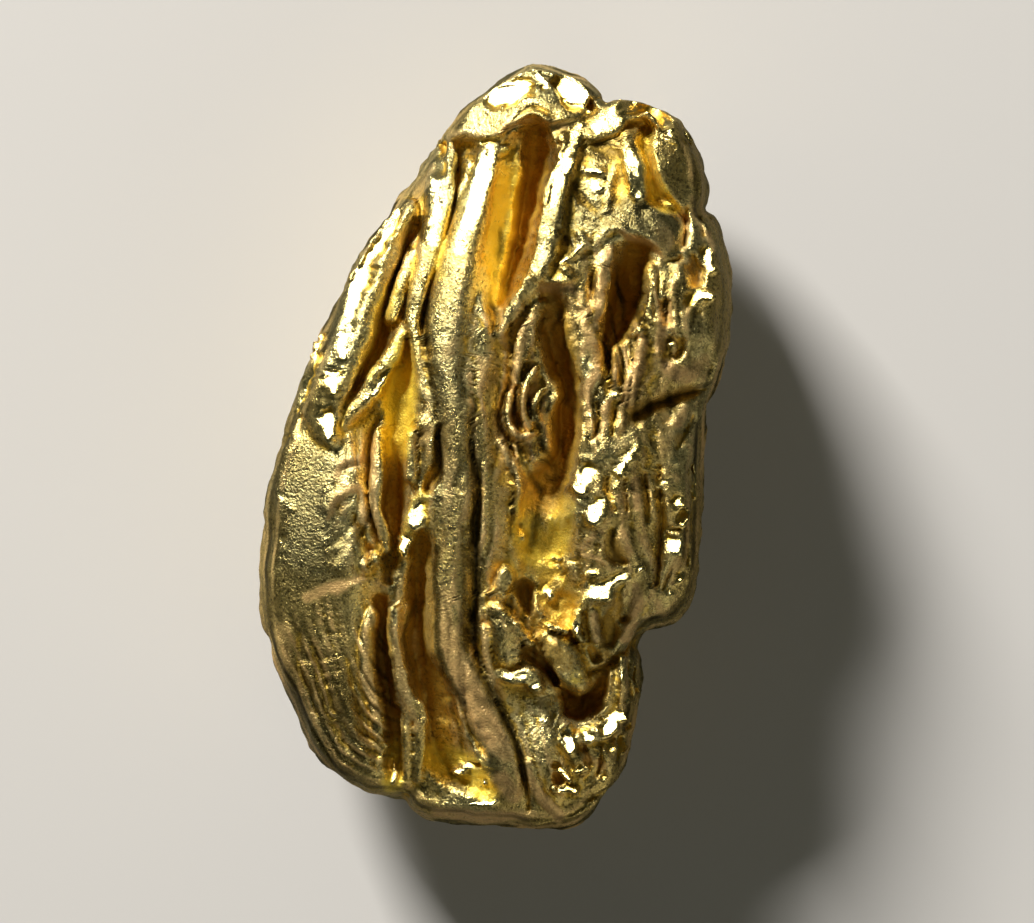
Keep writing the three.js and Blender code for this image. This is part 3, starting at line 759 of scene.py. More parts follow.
# Faces that lean towards the upper left.
FACETS = (
    face((0.0, 8.62, 0.36, 0.05), (0.72, 8.88, 0.3, 0.05)),
    face((1.65, 9.0, 0.3, 0.05), (1.95, 8.66, 0.42, 0.05)),
    face((1.2, 8.9, 0.16, 0.03), (1.0, 9.15, 0.12, 0.03)),
    face((2.2, 8.3, 0.12, 0.05)),
    face(
        (2.45, 7.85, 0.18, 0.0), (2.8, 8.05, 0.28, 0.0), (3.12, 8.32, 0.22, 0.0), (3.6, 8.4, 0.2, 0.0),
        (4.0, 8.18, 0.2, 0.0), (4.3, 7.8, 0.17, 0.0), (4.42, 7.45, 0.12, 0.0),
    ),
    face((2.05, 7.85, 0.2, 0.0), (1.8, 7.25, 0.26, 0.0), (1.55, 6.6, 0.21, 0.0), (1.38, 5.95, 0.13, 0.0)),
    face(
        (-2.4, 5.75, 0.15, 0.0), (-2.9, 5.05, 0.23, 0.0), (-3.3, 4.25, 0.28, 0.0),
        (-3.65, 3.2, 0.28, 0.0), (-4.0, 2.1, 0.27, 0.0), (-4.25, 1.1, 0.28, 0.0),
        (-4.18, 0.42, 0.24, 0.0),
    ),
    face((-1.32, 7.55, 0.15, 0.0), (-1.4, 6.6, 0.2, 0.0), (-1.5, 5.8, 0.16, 0.0), (-1.6, 5.1, 0.1, 0.0)),
    face(
        (-0.12, 7.35, 0.16, 0.0), (-0.42, 6.6, 0.26, 0.0), (-0.66, 5.8, 0.26, 0.0),
        (-0.9, 4.9, 0.18, 0.0),
    ),
    face((2.2, 6.84, 0.08, 0.04), (2.55, 6.78, 0.07, 0.04)),
    face((2.35, 6.58, 0.12, 0.04), (2.55, 6.38, 0.15, 0.04)),
    face((3.25, 7.6, 0.1, 0.0), (3.3, 7.2, 0.15, 0.0), (3.42, 6.7, 0.19, 0.0), (3.54, 6.2, 0.14, 0.0)),
    face((4.72, 7.82, 0.12, 0.06), (4.86, 7.62, 0.1, 0.06)),
    face((4.62, 7.0, 0.08, 0.05), (4.55, 6.85, 0.06, 0.05)),
    face((4.1, 6.05, 0.12, 0.05), (4.35, 5.92, 0.1, 0.05)),
    face((2.1, 5.05, 0.07, 0.05), (1.95, 4.85, 0.09, 0.05)),
    face((1.75, 4.65, 0.08, 0.04), (1.6, 4.5, 0.06, 0.04)),
    face((5.22, 5.7, 0.08, 0.05)),
    face((5.15, 4.85, 0.15, 0.06), (5.32, 4.4, 0.15, 0.06)),
    face((4.78, 3.66, 0.26, 0.08), (5.25, 3.72, 0.16, 0.08)),
    face((3.82, 4.05, 0.06, 0.05)),
    face((3.38, 2.82, 0.08, 0.05), (3.55, 2.88, 0.08, 0.05)),
    face((4.33, 2.47, 0.07, 0.05)),
    face((2.94, 1.25, 0.13, 0.05)),
    face((2.2, 0.85, 0.1, 0.05)),
    face((3.85, 0.25, 0.09, 0.05)),
    face((2.55, -2.15, 0.08, 0.05)),
    face((1.15, -3.35, 0.1, 0.05), (1.35, -3.7, 0.12, 0.05)),
    face((1.6, -2.95, 0.09, 0.05)),
    face((0.62, -1.9, 0.08, 0.04), (0.6, -2.2, 0.09, 0.04)),
    face((0.85, -2.45, 0.1, 0.04)),
    face((1.35, -1.75, 0.08, 0.04)),
    face((3.45, 0.1, 0.16, 0.07), (3.06, -0.5, 0.24, 0.07)),
    face((2.8, -0.28, 0.07, 0.06), (2.5, -0.34, 0.1, 0.06)),
    face((2.3, -0.6, 0.28, 0.07), (2.02, -0.97, 0.22, 0.07)),
    face((2.6, -1.28, 0.22, 0.07), (2.4, -1.62, 0.36, 0.07)),
    face((1.35, -2.7, 0.04, 0.05), (1.95, -2.7, 0.04, 0.05)),
    face((3.5, -2.92, 0.16, 0.06)),
    face((3.15, -3.2, 0.18, 0.07), (2.48, -3.55, 0.34, 0.07)),
    face((2.35, -3.08, 0.13, 0.06)),
    face((4.4, -0.28, 0.14, 0.06)),
    face((4.42, -1.25, 0.19, 0.06), (4.5, -1.5, 0.16, 0.06)),
    face((4.62, -1.6, 0.2, 0.06), (4.55, -1.85, 0.14, 0.06)),
    face((4.36, -2.38, 0.27, 0.06), (4.46, -2.48, 0.27, 0.06)),
    face((4.87, -0.5, 0.06, 0.05), (4.88, -1.2, 0.06, 0.05)),
    face((3.85, -0.1, 0.08, 0.05)),
    face((4.0, -0.95, 0.07, 0.05), (4.3, -0.7, 0.06, 0.05)),
    face((2.95, -1.35, 0.06, 0.05)),
    face((2.1, -1.35, 0.08, 0.05)),
    face((4.6, -3.15, 0.08, 0.05), (4.45, -3.3, 0.06, 0.05)),
    face((4.28, -3.62, 0.09, 0.05)),
    face((-0.02, -4.1, 0.1, 0.05), (0.25, -4.2, 0.07, 0.05)),
    face((0.5, -4.48, 0.08, 0.05)),
    face((1.35, -4.44, 0.07, 0.05), (1.6, -4.5, 0.06, 0.05)),
    face((1.96, -4.4, 0.08, 0.05), (1.98, -4.65, 0.07, 0.05)),
    face((2.0, -5.65, 0.1, 0.05)),
    face((0.25, -5.6, 0.16, 0.05)),
    face((0.64, -5.62, 0.18, 0.05)),
    face((0.95, -5.88, 0.17, 0.05)),
    face((1.12, -6.7, 0.08, 0.05)),
    face((3.12, -5.4, 0.05, 0.05), (3.12, -5.8, 0.06, 0.05)),
    face((3.45, -5.5, 0.04, 0.05), (3.46, -5.95, 0.05, 0.05)),
    face((3.0, -6.62, 0.24, 0.06), (2.7, -6.98, 0.26, 0.06)),
    face((2.33, -7.22, 0.21, 0.06)),
    face((1.72, -7.08, 0.2, 0.06), (1.84, -7.5, 0.21, 0.06)),
    face((3.18, -6.2, 0.12, 0.05)),
    face((3.25, -6.95, 0.13, 0.05)),
    face((2.8, -7.45, 0.14, 0.05)),
    face((1.5, -7.95, 0.12, 0.05), (1.72, -8.2, 0.1, 0.05)),
    face((1.92, -8.02, 0.12, 0.05), (2.15, -7.95, 0.1, 0.05)),
    face((1.5, -8.5, 0.09, 0.05), (1.9, -8.49, 0.08, 0.05)),
    face((3.08, -7.3, 0.13, 0.05), (2.98, -7.7, 0.11, 0.05)),
    face((2.5, -7.65, 0.1, 0.05)),
    face((2.7, -8.25, 0.11, 0.05)),
    face((1.3, -7.15, 0.12, 0.05)),
    face((1.1, -7.75, 0.1, 0.05)),
    face((-0.6, -8.86, 0.09, 0.05), (-0.05, -8.78, 0.1, 0.05)),
    face((-1.0, -8.02, 0.14, 0.05), (-0.5, -7.85, 0.15, 0.05)),
    face((-0.25, -8.3, 0.11, 0.05)),
    face((-1.35, -7.45, 0.1, 0.05)),
    face((-2.65, -7.85, 0.13, 0.05), (-2.6, -8.2, 0.14, 0.05)),
    face((-2.8, -7.3, 0.08, 0.05)),
    face((-1.85, -1.4, 0.13, 0.05), (-2.0, -1.85, 0.22, 0.05)),
    face((-2.2, -2.25, 0.14, 0.05), (-2.38, -2.55, 0.11, 0.05)),
    face((-1.36, -1.85, 0.07, 0.05)),
    face((-3.1, -2.95, 0.08, 0.05)),
    face((-3.15, 1.3, 0.16, 0.05), (-2.7, 1.8, 0.13, 0.05)),
    face((-3.8, -1.78, 0.07, 0.05)),
    face(
        (-4.28, 2.75, 0.09, 0.03), (-4.5, 2.1, 0.12, 0.03), (-4.72, 1.5, 0.12, 0.03),
        (-4.92, 0.9, 0.09, 0.03),
    ),
    face((-3.72, 2.75, 0.2, 0.02), (-3.82, 2.35, 0.2, 0.02)),
    face((-3.95, 1.85, 0.2, 0.02), (-4.06, 1.45, 0.2, 0.02)),
    face((-4.2, 0.8, 0.24, 0.04), (-4.1, 0.32, 0.27, 0.04)),
    face((-5.1, 1.0, 0.06, 0.05)),
    face((-5.2, 0.35, 0.08, 0.05)),
    face((-5.35, -1.15, 0.08, 0.05), (-5.15, -1.45, 0.07, 0.05)),
    face((-5.25, -2.25, 0.08, 0.05), (-5.35, -2.55, 0.06, 0.05)),
)

# What tints the metal: painted light, painted shade and painted reflection, and grit with painted shade.
PAINTED_LIGHT_AND_STAINS = (
    soot_and_painted_shade((4.7, 7.4, 0.5, 0.15), (4.7, 6.7, 0.6, 0.2), (4.9, 6.1, 0.4, 0.2)),
    soot_and_painted_shade((2.35, 7.4, 0.35, 0.75), (2.75, 7.2, 0.35, 0.75)),
    soot_and_painted_shade((2.0, 6.3, 0.35, 0.7), (1.75, 5.5, 0.4, 0.6), (1.6, 4.6, 0.4, 0.4)),
    soot_and_painted_shade((2.4, 5.8, 0.45, 0.8), (3.3, 5.8, 0.5, 0.8), (4.1, 5.3, 0.4, 0.5)),
    soot_and_painted_shade((-4.8, -0.4, 0.7, 0.5), (-4.6, -1.8, 1.1, 0.55), (-4.5, -2.8, 1.0, 0.35)),
    soot_and_painted_shade((-3.2, 6.0, 0.5, 0.1), (-3.9, 4.2, 0.3, 0.2), (-4.4, 2.6, 0.3, 0.2)),
    soot_and_painted_shade((-5.0, -4.6, 0.5, 0.4), (-4.4, -6.0, 1.1, 0.7), (-3.9, -7.6, 0.9, 0.6)),
    soot_and_painted_shade(
        (-1.2, 3.6, 0.45, 0.25), (-1.2, 1.6, 0.5, 0.4), (-0.95, -0.6, 0.4, 0.35), (-1.1, -3.2, 0.4, 0.3),
    ),
    soot_and_painted_shade(
        (-0.6, 1.0, 0.09, 0.7), (-0.58, -0.6, 0.12, 1.0), (-0.48, -2.5, 0.12, 1.0),
        (-0.52, -4.8, 0.12, 1.0),
    ),
    soot_and_painted_shade(
        (-0.48, -5.1, 0.11, 1.0), (-0.02, -6.2, 0.12, 1.0), (0.43, -7.1, 0.12, 1.0),
        (0.7, -8.2, 0.1, 0.8),
    ),
    soot_and_painted_shade(
        (-1.45, -2.4, 0.09, 0.8), (-1.5, -4.0, 0.1, 0.9), (-1.32, -5.3, 0.1, 0.9),
        (-0.85, -6.3, 0.1, 0.9),
    ),
    soot_and_painted_shade(
        (-0.85, -1.6, 0.08, 0.7), (-0.8, -3.0, 0.1, 0.8), (-0.88, -4.4, 0.1, 0.8),
        (-0.6, -5.4, 0.08, 0.7),
    ),
    soot_and_painted_shade(
        (-1.72, 3.6, 0.09, 0.8), (-1.68, 2.0, 0.1, 1.0), (-1.5, 0.9, 0.1, 1.0), (-1.36, -0.6, 0.1, 0.9),
    ),
    soot_and_painted_shade((-1.15, 0.6, 0.07, 0.6), (-0.95, -0.4, 0.08, 0.7), (-0.9, -1.4, 0.07, 0.6)),
    painted_light(
        (-2.3, 2.6, 0.2, 0.6), (-2.32, 1.9, 0.4, 1.0), (-2.35, 1.0, 0.45, 1.0), (-2.45, -0.1, 0.35, 0.9),
    ),
    painted_light((0.3, 7.2, 0.25, 0.7), (0.25, 6.2, 0.35, 1.0), (0.1, 5.0, 0.38, 1.0), (-0.02, 3.7, 0.25, 0.9)),
    painted_light((0.7, -1.4, 0.3, 0.5), (0.7, -2.0, 0.45, 0.9), (0.8, -2.6, 0.4, 0.9)),
    painted_light((1.7, -1.4, 0.3, 0.6), (1.45, -2.2, 0.4, 0.7), (1.1, -2.8, 0.35, 0.6)),
    painted_light((0.4, -2.9, 0.3, 0.3), (1.2, -3.3, 0.5, 0.3), (1.8, -3.9, 0.5, 0.3)),
    brown((1.2, -3.1, 0.4, 0.4), (1.5, -3.7, 0.6, 0.5)),
    painted_light((-2.6, -7.4, 0.25, 0.7), (-2.6, -8.3, 0.3, 0.9)),
    painted_light((-1.5, -7.6, 0.4, 0.8), (-0.7, -8.0, 0.5, 0.9), (-0.3, -8.6, 0.35, 0.8)),
    painted_light((3.7, 7.7, 0.2, 0.6), (3.75, 6.8, 0.25, 0.7), (4.1, 6.05, 0.3, 1.0), (4.4, 5.85, 0.2, 0.8)),
    painted_light((-1.85, -1.2, 0.2, 0.6), (-2.2, -2.2, 0.25, 0.7)),
    painted_light((2.0, -5.7, 0.22, 0.6)),
    painted_light((-2.6, 3.9, 0.25, 0.5), (-2.9, 2.9, 0.3, 0.7), (-3.2, 1.9, 0.2, 0.5)),
    painted_light((-1.2, 5.8, 0.2, 0.4), (-1.5, 4.2, 0.2, 0.5)),
    brown(
        (0.9, 7.8, 0.35, 0.8), (0.95, 7.0, 0.35, 0.9), (0.8, 6.0, 0.3, 0.8), (0.6, 5.0, 0.25, 0.7),
        (0.3, 4.1, 0.2, 0.4),
    ),
    brown((3.4, 4.6, 0.5, 1.0), (3.2, 3.8, 0.5, 1.0), (2.95, 2.9, 0.4, 1.0), (2.7, 2.2, 0.25, 0.8)),
    brown(
        (1.35, 3.5, 0.4, 0.9), (1.5, 2.6, 0.5, 1.0), (1.7, 1.7, 0.42, 1.0), (1.7, 0.6, 0.42, 0.95),
        (1.55, -0.3, 0.45, 0.9), (1.1, -1.1, 0.6, 0.75),
    ),
    brown((-2.45, -0.4, 0.35, 0.5), (-2.52, -1.4, 0.38, 0.7), (-2.55, -2.3, 0.25, 0.6)),
    brown((-2.3, 5.2, 0.25, 0.6), (-2.7, 4.0, 0.25, 0.5)),
    brown(
        (-2.85, -3.8, 0.25, 0.9), (-2.9, -5.0, 0.34, 1.0), (-2.75, -6.0, 0.3, 0.9),
        (-2.5, -6.9, 0.22, 0.7),
    ),
    brown(
        (-1.85, -2.4, 0.3, 0.5), (-1.85, -4.0, 0.42, 0.6), (-1.75, -5.4, 0.42, 0.6),
        (-1.5, -6.5, 0.4, 0.4),
    ),
    brown((1.7, -6.1, 0.3, 1.0), (2.1, -6.4, 0.4, 1.0), (2.5, -6.0, 0.3, 0.9), (2.65, -5.5, 0.2, 0.7)),
    brown((0.72, -5.05, 0.16, 1.0), (1.1, -5.35, 0.18, 1.0), (1.5, -5.85, 0.2, 1.0)),
    brown((1.2, -5.0, 0.35, 0.6), (1.65, -5.3, 0.35, 0.6)),
    brown((0.68, -3.5, 0.22, 1.0), (0.95, -4.3, 0.12, 0.6)),
    brown((2.85, -2.2, 0.15, 0.7), (2.95, -2.6, 0.26, 0.8)),
    brown((2.95, -3.9, 0.22, 0.6), (2.8, -4.7, 0.22, 0.7), (2.5, -5.2, 0.2, 0.7)),
    brown((3.4, 0.85, 0.25, 0.8), (4.0, 1.1, 0.25, 0.8), (4.8, 1.4, 0.2, 0.7)),
    brown((4.5, 0.2, 0.18, 0.7)),
    brown((1.5, -8.25, 0.2, 0.8)),
    brown((2.7, 7.35, 0.25, 0.4), (3.4, 8.1, 0.2, 0.4)),
    brown((-1.6, -0.3, 0.2, 0.5), (-1.7, -1.0, 0.18, 0.5)),
    brown((2.3, 8.45, 0.14, 0.5)),
    tan((-3.3, -3.25, 0.1, 0.8), (-4.0, -3.5, 0.16, 1.0), (-4.7, -3.7, 0.16, 0.9)),
    tan((-3.95, -0.75, 0.1, 0.8), (-3.75, -0.45, 0.12, 0.9), (-3.3, -0.25, 0.1, 0.8)),
    tan(
        (-4.2, -1.75, 0.08, 0.8), (-3.95, -1.35, 0.12, 0.9), (-3.4, -1.0, 0.12, 0.9),
        (-3.25, -1.8, 0.14, 0.8),
    ),
    tan((-3.0, 0.3, 0.1, 0.6), (-3.05, -0.8, 0.12, 0.8), (-2.95, -2.0, 0.1, 0.7)),
    tan((-5.3, -4.5, 0.25, 0.5), (-5.2, -5.4, 0.2, 0.6)),
    tan((-3.15, -4.3, 0.14, 0.7), (-3.2, -5.4, 0.14, 0.8), (-2.95, -6.6, 0.14, 0.7)),
    tan((-2.5, -4.5, 0.14, 0.6), (-2.35, -5.8, 0.14, 0.6), (-2.0, -6.9, 0.14, 0.5)),
    tan(
        (-1.3, -3.5, 0.2, 0.5), (-1.25, -4.5, 0.25, 0.8), (-0.95, -5.4, 0.35, 0.9),
        (-0.55, -6.3, 0.4, 1.0), (-0.1, -7.1, 0.4, 1.0), (0.2, -7.5, 0.25, 0.7),
    ),
    tan((0.1, -8.2, 0.3, 0.9), (0.4, -8.6, 0.25, 0.8)),
    tan((0.75, -8.0, 0.12, 0.8), (1.05, -8.6, 0.15, 0.9), (1.5, -9.1, 0.2, 0.8)),
    tan((-1.5, -9.1, 0.15, 0.8), (0.0, -9.2, 0.2, 0.9), (0.9, -9.1, 0.15, 0.6)),
    tan((-0.3, -4.2, 0.1, 0.6), (-0.2, -5.4, 0.12, 0.7), (0.1, -6.1, 0.15, 0.6)),
    tan((1.1, 3.93, 0.12, 0.9), (1.85, 3.93, 0.14, 0.9)),
    tan((1.5, 3.75, 0.2, 0.9)),
    tan((2.75, 4.9, 0.12, 1.0), (2.62, 4.2, 0.15, 1.0), (2.53, 3.5, 0.14, 1.0), (2.42, 2.8, 0.1, 0.8)),
    tan((3.05, 5.35, 0.08, 0.9), (3.4, 5.1, 0.11, 1.0), (3.8, 4.97, 0.12, 1.0), (4.0, 4.7, 0.08, 0.8)),
    tan((4.65, 5.7, 0.1, 0.7), (4.62, 5.0, 0.1, 0.6)),
    tan((5.2, 5.25, 0.12, 0.8), (5.3, 4.95, 0.1, 0.7)),
    tan((4.75, 4.6, 0.15, 0.6), (4.95, 4.2, 0.22, 0.6)),
    tan((2.02, 3.8, 0.1, 0.8), (2.1, 3.2, 0.1, 0.8), (2.35, 2.3, 0.08, 0.7), (2.55, 1.7, 0.1, 0.6)),
    tan((4.02, 3.5, 0.12, 0.8), (4.08, 2.9, 0.12, 1.0), (4.0, 2.4, 0.15, 0.9)),
    tan((4.15, 2.0, 0.22, 1.0), (4.7, 1.8, 0.24, 0.9), (5.1, 2.1, 0.18, 0.6)),
    tan((3.58, 2.6, 0.15, 1.0), (3.48, 2.0, 0.18, 1.0), (3.3, 1.4, 0.22, 1.0), (3.25, 1.05, 0.15, 0.8)),
    tan((2.95, 2.35, 0.1, 0.7), (2.92, 1.8, 0.1, 0.8)),
    tan(
        (0.8, 3.3, 0.08, 0.6), (0.5, 2.2, 0.14, 0.8), (0.36, 1.1, 0.09, 0.8), (0.5, 0.35, 0.09, 0.9),
        (0.9, 0.3, 0.08, 0.8),
    ),
    tan((0.0, 0.9, 0.12, 0.5), (0.1, 0.1, 0.14, 0.6), (0.5, -0.5, 0.14, 0.6)),
    tan((0.85, 1.15, 0.1, 0.6)),
    tan((0.8, 0.6, 0.1, 0.6)),
    tan((-0.4, 2.2, 0.12, 0.6), (-0.3, 1.5, 0.14, 0.6)),
    tan((2.3, 1.3, 0.1, 0.5), (2.15, 0.9, 0.1, 0.6), (2.3, 0.45, 0.1, 0.6)),
    tan((2.68, 1.0, 0.08, 0.7), (2.7, 0.6, 0.08, 0.6), (2.5, 0.25, 0.08, 0.6)),
    tan((3.1, 0.9, 0.1, 0.7), (3.12, 0.4, 0.1, 0.6)),
    tan((4.62, 1.0, 0.1, 0.8), (4.45, 0.6, 0.14, 0.8)),
    tan((3.42, -0.8, 0.11, 1.0), (3.46, -1.5, 0.11, 1.0)),
    tan((3.06, -1.0, 0.07, 0.8), (3.02, -1.45, 0.07, 0.8)),
    tan((2.6, -2.0, 0.09, 0.9), (2.1, -2.45, 0.1, 0.9)),
    tan((3.1, -2.0, 0.08, 0.9), (3.28, -2.6, 0.1, 0.9)),
    tan((3.52, -2.15, 0.08, 0.7), (3.75, -2.5, 0.08, 0.7)),
    tan((2.1, -2.6, 0.06, 0.8), (2.5, -2.75, 0.07, 0.9), (2.78, -3.0, 0.07, 0.8)),
    tan((3.4, -3.4, 0.12, 0.8), (3.45, -3.9, 0.2, 0.9), (3.2, -4.7, 0.18, 0.9)),
    tan((2.42, -4.15, 0.14, 0.8), (2.45, -4.75, 0.12, 0.7)),
    tan((3.95, -3.8, 0.14, 0.7), (4.15, -4.1, 0.12, 0.6)),
    tan((4.45, -2.85, 0.15, 0.6), (4.25, -3.3, 0.15, 0.5)),
    tan((4.4, -0.7, 0.14, 0.5)),
    tan((1.25, -7.75, 0.12, 0.6), (1.4, -7.9, 0.1, 0.6)),
    tan((2.2, -7.7, 0.12, 0.6), (2.6, -7.9, 0.12, 0.5)),
    tan((-1.55, 7.0, 0.1, 0.5), (-2.0, 6.3, 0.15, 0.6)),
    tan((-1.1, 7.75, 0.2, 0.6), (-0.4, 7.7, 0.1, 0.5)),
    tan((-1.7, 0.4, 0.22, 0.5), (-2.05, 0.0, 0.15, 0.5)),
    tan((-0.1, 7.75, 0.1, 0.6), (0.7, 8.1, 0.08, 0.5), (1.7, 7.9, 0.12, 0.6)),
)

# The smooth left flank, with its curls, and the striated foot below its ledge.
LEFT_FLANK = (
    lip((-3.95, -0.75, 0.4, 0.05), (-3.75, -0.45, 0.5, 0.15), (-3.3, -0.3, 0.4, 0.08)),
    lip((-4.2, -1.8, 0.4, 0.05), (-3.95, -1.38, 0.5, 0.18), (-3.4, -1.02, 0.4, 0.08)),
    rib((-3.28, -1.1, 0.16, 0.0), (-3.25, -1.9, 0.16, -0.02)),
    crease((-3.55, -1.6, 0.14, 0.15), (-3.3, -2.2, 0.16, 0.25), (-3.08, -2.8, 0.14, 0.15)),
    cut((-3.15, -2.5, 0.12, 0.2)),
    rib((-3.25, -2.95, 0.14, 0.12)),
    rib((-3.0, -2.75, 0.12, 0.1)),
    lip((-3.4, -3.3, 0.5, 0.1), (-4.3, -3.62, 0.6, 0.0), (-4.8, -3.8, 0.5, 0.0)),
    rib((-1.8, -1.0, 0.14, 0.0), (-2.0, -1.85, 0.2, 0.0), (-2.4, -2.6, 0.14, -0.1)),
    rib((-1.35, -1.85, 0.12, 0.1)),
    cut((-5.3, -1.2, 0.08, 0.08)),
    cut((-5.1, -1.5, 0.08, 0.08)),
    cut((-5.22, -2.2, 0.08, 0.1)),
    cut((-5.3, -2.6, 0.07, 0.08)),
    cut(
        (-1.85, -2.3, 0.3, 0.35), (-1.85, -3.5, 0.42, 0.75), (-1.85, -5.0, 0.48, 0.85),
        (-1.6, -6.0, 0.55, 0.85), (-1.4, -7.0, 0.6, 0.7), (-1.0, -7.9, 0.6, 0.6), (-0.4, -8.35, 0.4, 0.3),
    ),
    cut(
        (-2.85, -3.8, 0.2, 0.35), (-2.9, -5.0, 0.34, 0.7), (-2.8, -5.8, 0.34, 0.7),
        (-2.65, -6.4, 0.3, 0.6), (-2.5, -6.9, 0.25, 0.5), (-2.55, -7.8, 0.3, 0.35),
        (-2.6, -8.3, 0.2, 0.1),
    ),
    rib(
        (-2.55, -4.0, 0.13, 0.05), (-2.5, -5.0, 0.16, 0.05), (-2.28, -6.0, 0.17, 0.05),
        (-1.9, -6.8, 0.17, 0.0), (-1.98, -8.2, 0.15, -0.05),
    ),
    rib((-2.22, -6.5, 0.12, -0.1), (-2.22, -8.3, 0.14, -0.1)),
    rib(
        (-3.1, -4.1, 0.12, 0.05), (-3.25, -4.8, 0.16, 0.12), (-3.22, -5.6, 0.16, 0.12),
        (-2.98, -6.5, 0.15, 0.08), (-2.9, -7.2, 0.1, 0.0),
    ),
    crease(
        (-4.5, -4.9, 0.14, 0.12), (-4.4, -6.2, 0.16, 0.2), (-4.05, -7.2, 0.16, 0.2),
        (-3.7, -7.9, 0.12, 0.1),
    ),
    crease((-4.3, -5.5, 0.1, 0.1), (-4.0, -6.8, 0.12, 0.15), (-3.7, -7.4, 0.1, 0.1)),
    crease((-3.7, -5.2, 0.13, 0.12), (-3.42, -6.5, 0.15, 0.2), (-2.97, -7.7, 0.13, 0.12)),
    crease((-4.9, -4.6, 0.12, 0.1), (-4.85, -5.6, 0.13, 0.15), (-4.6, -6.6, 0.1, 0.1)),
    rib((-3.95, -5.7, 0.1, 0.06), (-3.6, -6.9, 0.13, 0.08), (-3.15, -8.0, 0.12, 0.05)),
    rib((-4.62, -5.4, 0.1, 0.05), (-4.25, -6.9, 0.12, 0.08), (-3.6, -8.1, 0.12, 0.05)),
    rib((-5.2, -4.6, 0.25, 0.05), (-5.15, -5.4, 0.22, 0.03)),
)

# The worn underside, with the five low lobes that it stands on.
UNDERSIDE = (
    swell((-0.8, 5.2, 1.3, 0.5), (-2.0, 2.4, 1.7, 0.7), (-2.6, 0.4, 1.6, 0.5)),
    swell((-3.0, -3.2, 1.7, 0.7), (-2.0, -5.6, 1.6, 0.8), (-0.9, -7.0, 1.2, 0.5)),
    swell((3.0, 5.9, 1.7, 1.3), (2.9, 4.4, 1.5, 1.1), (2.9, 3.4, 1.4, 0.7)),
    swell((3.2, 1.4, 1.5, 0.6), (2.4, -1.4, 1.7, 0.8), (2.2, -3.4, 1.3, 0.5)),
    swell((1.6, -6.0, 1.2, 1.1), (1.5, -7.6, 1.1, 0.9)),
    crease(
        (0.9, 8.4, 0.5, 0.2), (0.8, 4.4, 0.8, 0.6), (0.2, 0.8, 0.8, 0.6), (0.1, -3.4, 0.8, 0.6),
        (0.6, -8.6, 0.5, 0.3),
    ),
    crease((0.6, 3.0, 0.5, 0.3), (1.8, 2.6, 0.7, 0.5), (4.8, 3.2, 0.6, 0.4)),
    crease((-5.0, -0.9, 0.6, 0.3), (-2.6, -1.5, 0.7, 0.5), (0.0, -2.0, 0.6, 0.4)),
    crease((1.0, -4.2, 0.5, 0.3), (2.6, -4.6, 0.6, 0.4), (3.6, -4.8, 0.5, 0.4)),
    crease((-3.4, 4.4, 0.5, 0.3), (-2.2, 4.4, 0.5, 0.4), (-0.8, 3.2, 0.4, 0.2)),
    cut((-0.6, -0.6, 0.35, 0.35), (-0.5, -1.1, 0.3, 0.3)),
    cut((1.3, 0.8, 0.3, 0.3)),
    cut((-3.6, -6.2, 0.25, 0.25)),
    cut((0.6, 6.6, 0.3, 0.25)),
)

UPPER_MARKS = (
    *MASSES, *LEFT_FLANK, *LEFT_FOLDS, *VALLEY, *SPINE_AND_PIT, *UPPER_RIGHT, *RIGHT_MASS, *MIDDLE_MASS,
    *NARROW_END,
)

# Oval patches of crumpled skin, as (middle x, middle y, half width, half length, strength).
CRUMPLED_PATCHES = (
    (3.6, 2.2, 1.9, 2.6, 0.8),
    (2.6, 5.6, 1.5, 1.8, 0.5),
    (1.2, 1.6, 1.2, 3.0, 0.55),
    (2.6, -1.4, 2.0, 2.6, 0.75),
    (1.0, -4.0, 1.6, 1.6, 0.8),
    (1.1, -2.0, 0.9, 0.9, 0.45),
    (0.3, 5.2, 0.5, 2.2, 0.35),
    (2.4, -6.9, 1.4, 2.2, 0.75),
    (4.5, -1.2, 0.9, 3.2, 0.6),
    (0.6, 6.0, 0.6, 2.6, 0.6),
    (-2.4, 1.0, 0.7, 3.4, 0.35),
    (-1.4, -7.6, 1.5, 1.2, 0.6),
    (-3.6, -1.8, 0.8, 1.6, 0.45),
    (-4.0, -6.2, 1.3, 2.2, 0.25),
)

# Oval patches with fine flowing folds, written in the same way.
FLOWING_PATCHES = (
    (0.3, 0.6, 1.3, 3.4, 1.0),
    (-0.6, -3.0, 0.7, 5.6, 0.8),
    (-1.1, 2.6, 0.5, 3.0, 0.45),
    (3.4, 2.0, 2.2, 2.4, 1.0),
    (3.2, -2.4, 1.3, 2.8, 0.6),
    (4.6, -1.4, 0.6, 2.8, 0.5),
    (-3.4, -1.4, 0.6, 1.8, 0.6),
    (-1.6, 0.4, 0.5, 2.6, 0.5),
    (1.0, -7.8, 1.2, 1.8, 0.6),
    (-2.6, -5.6, 0.8, 2.6, 0.6),
    (2.4, 3.6, 0.7, 1.6, 0.7),
    (0.6, -4.6, 1.0, 1.0, 0.5),
    (3.0, -6.6, 0.8, 1.6, 0.4),
    (4.6, 5.2, 0.8, 1.2, 0.5),
    (-2.0, 5.6, 0.8, 1.8, 0.4),
)
STRIATED_PATCH = (-4.4, -6.3, 1.7, 2.5, 1.0)

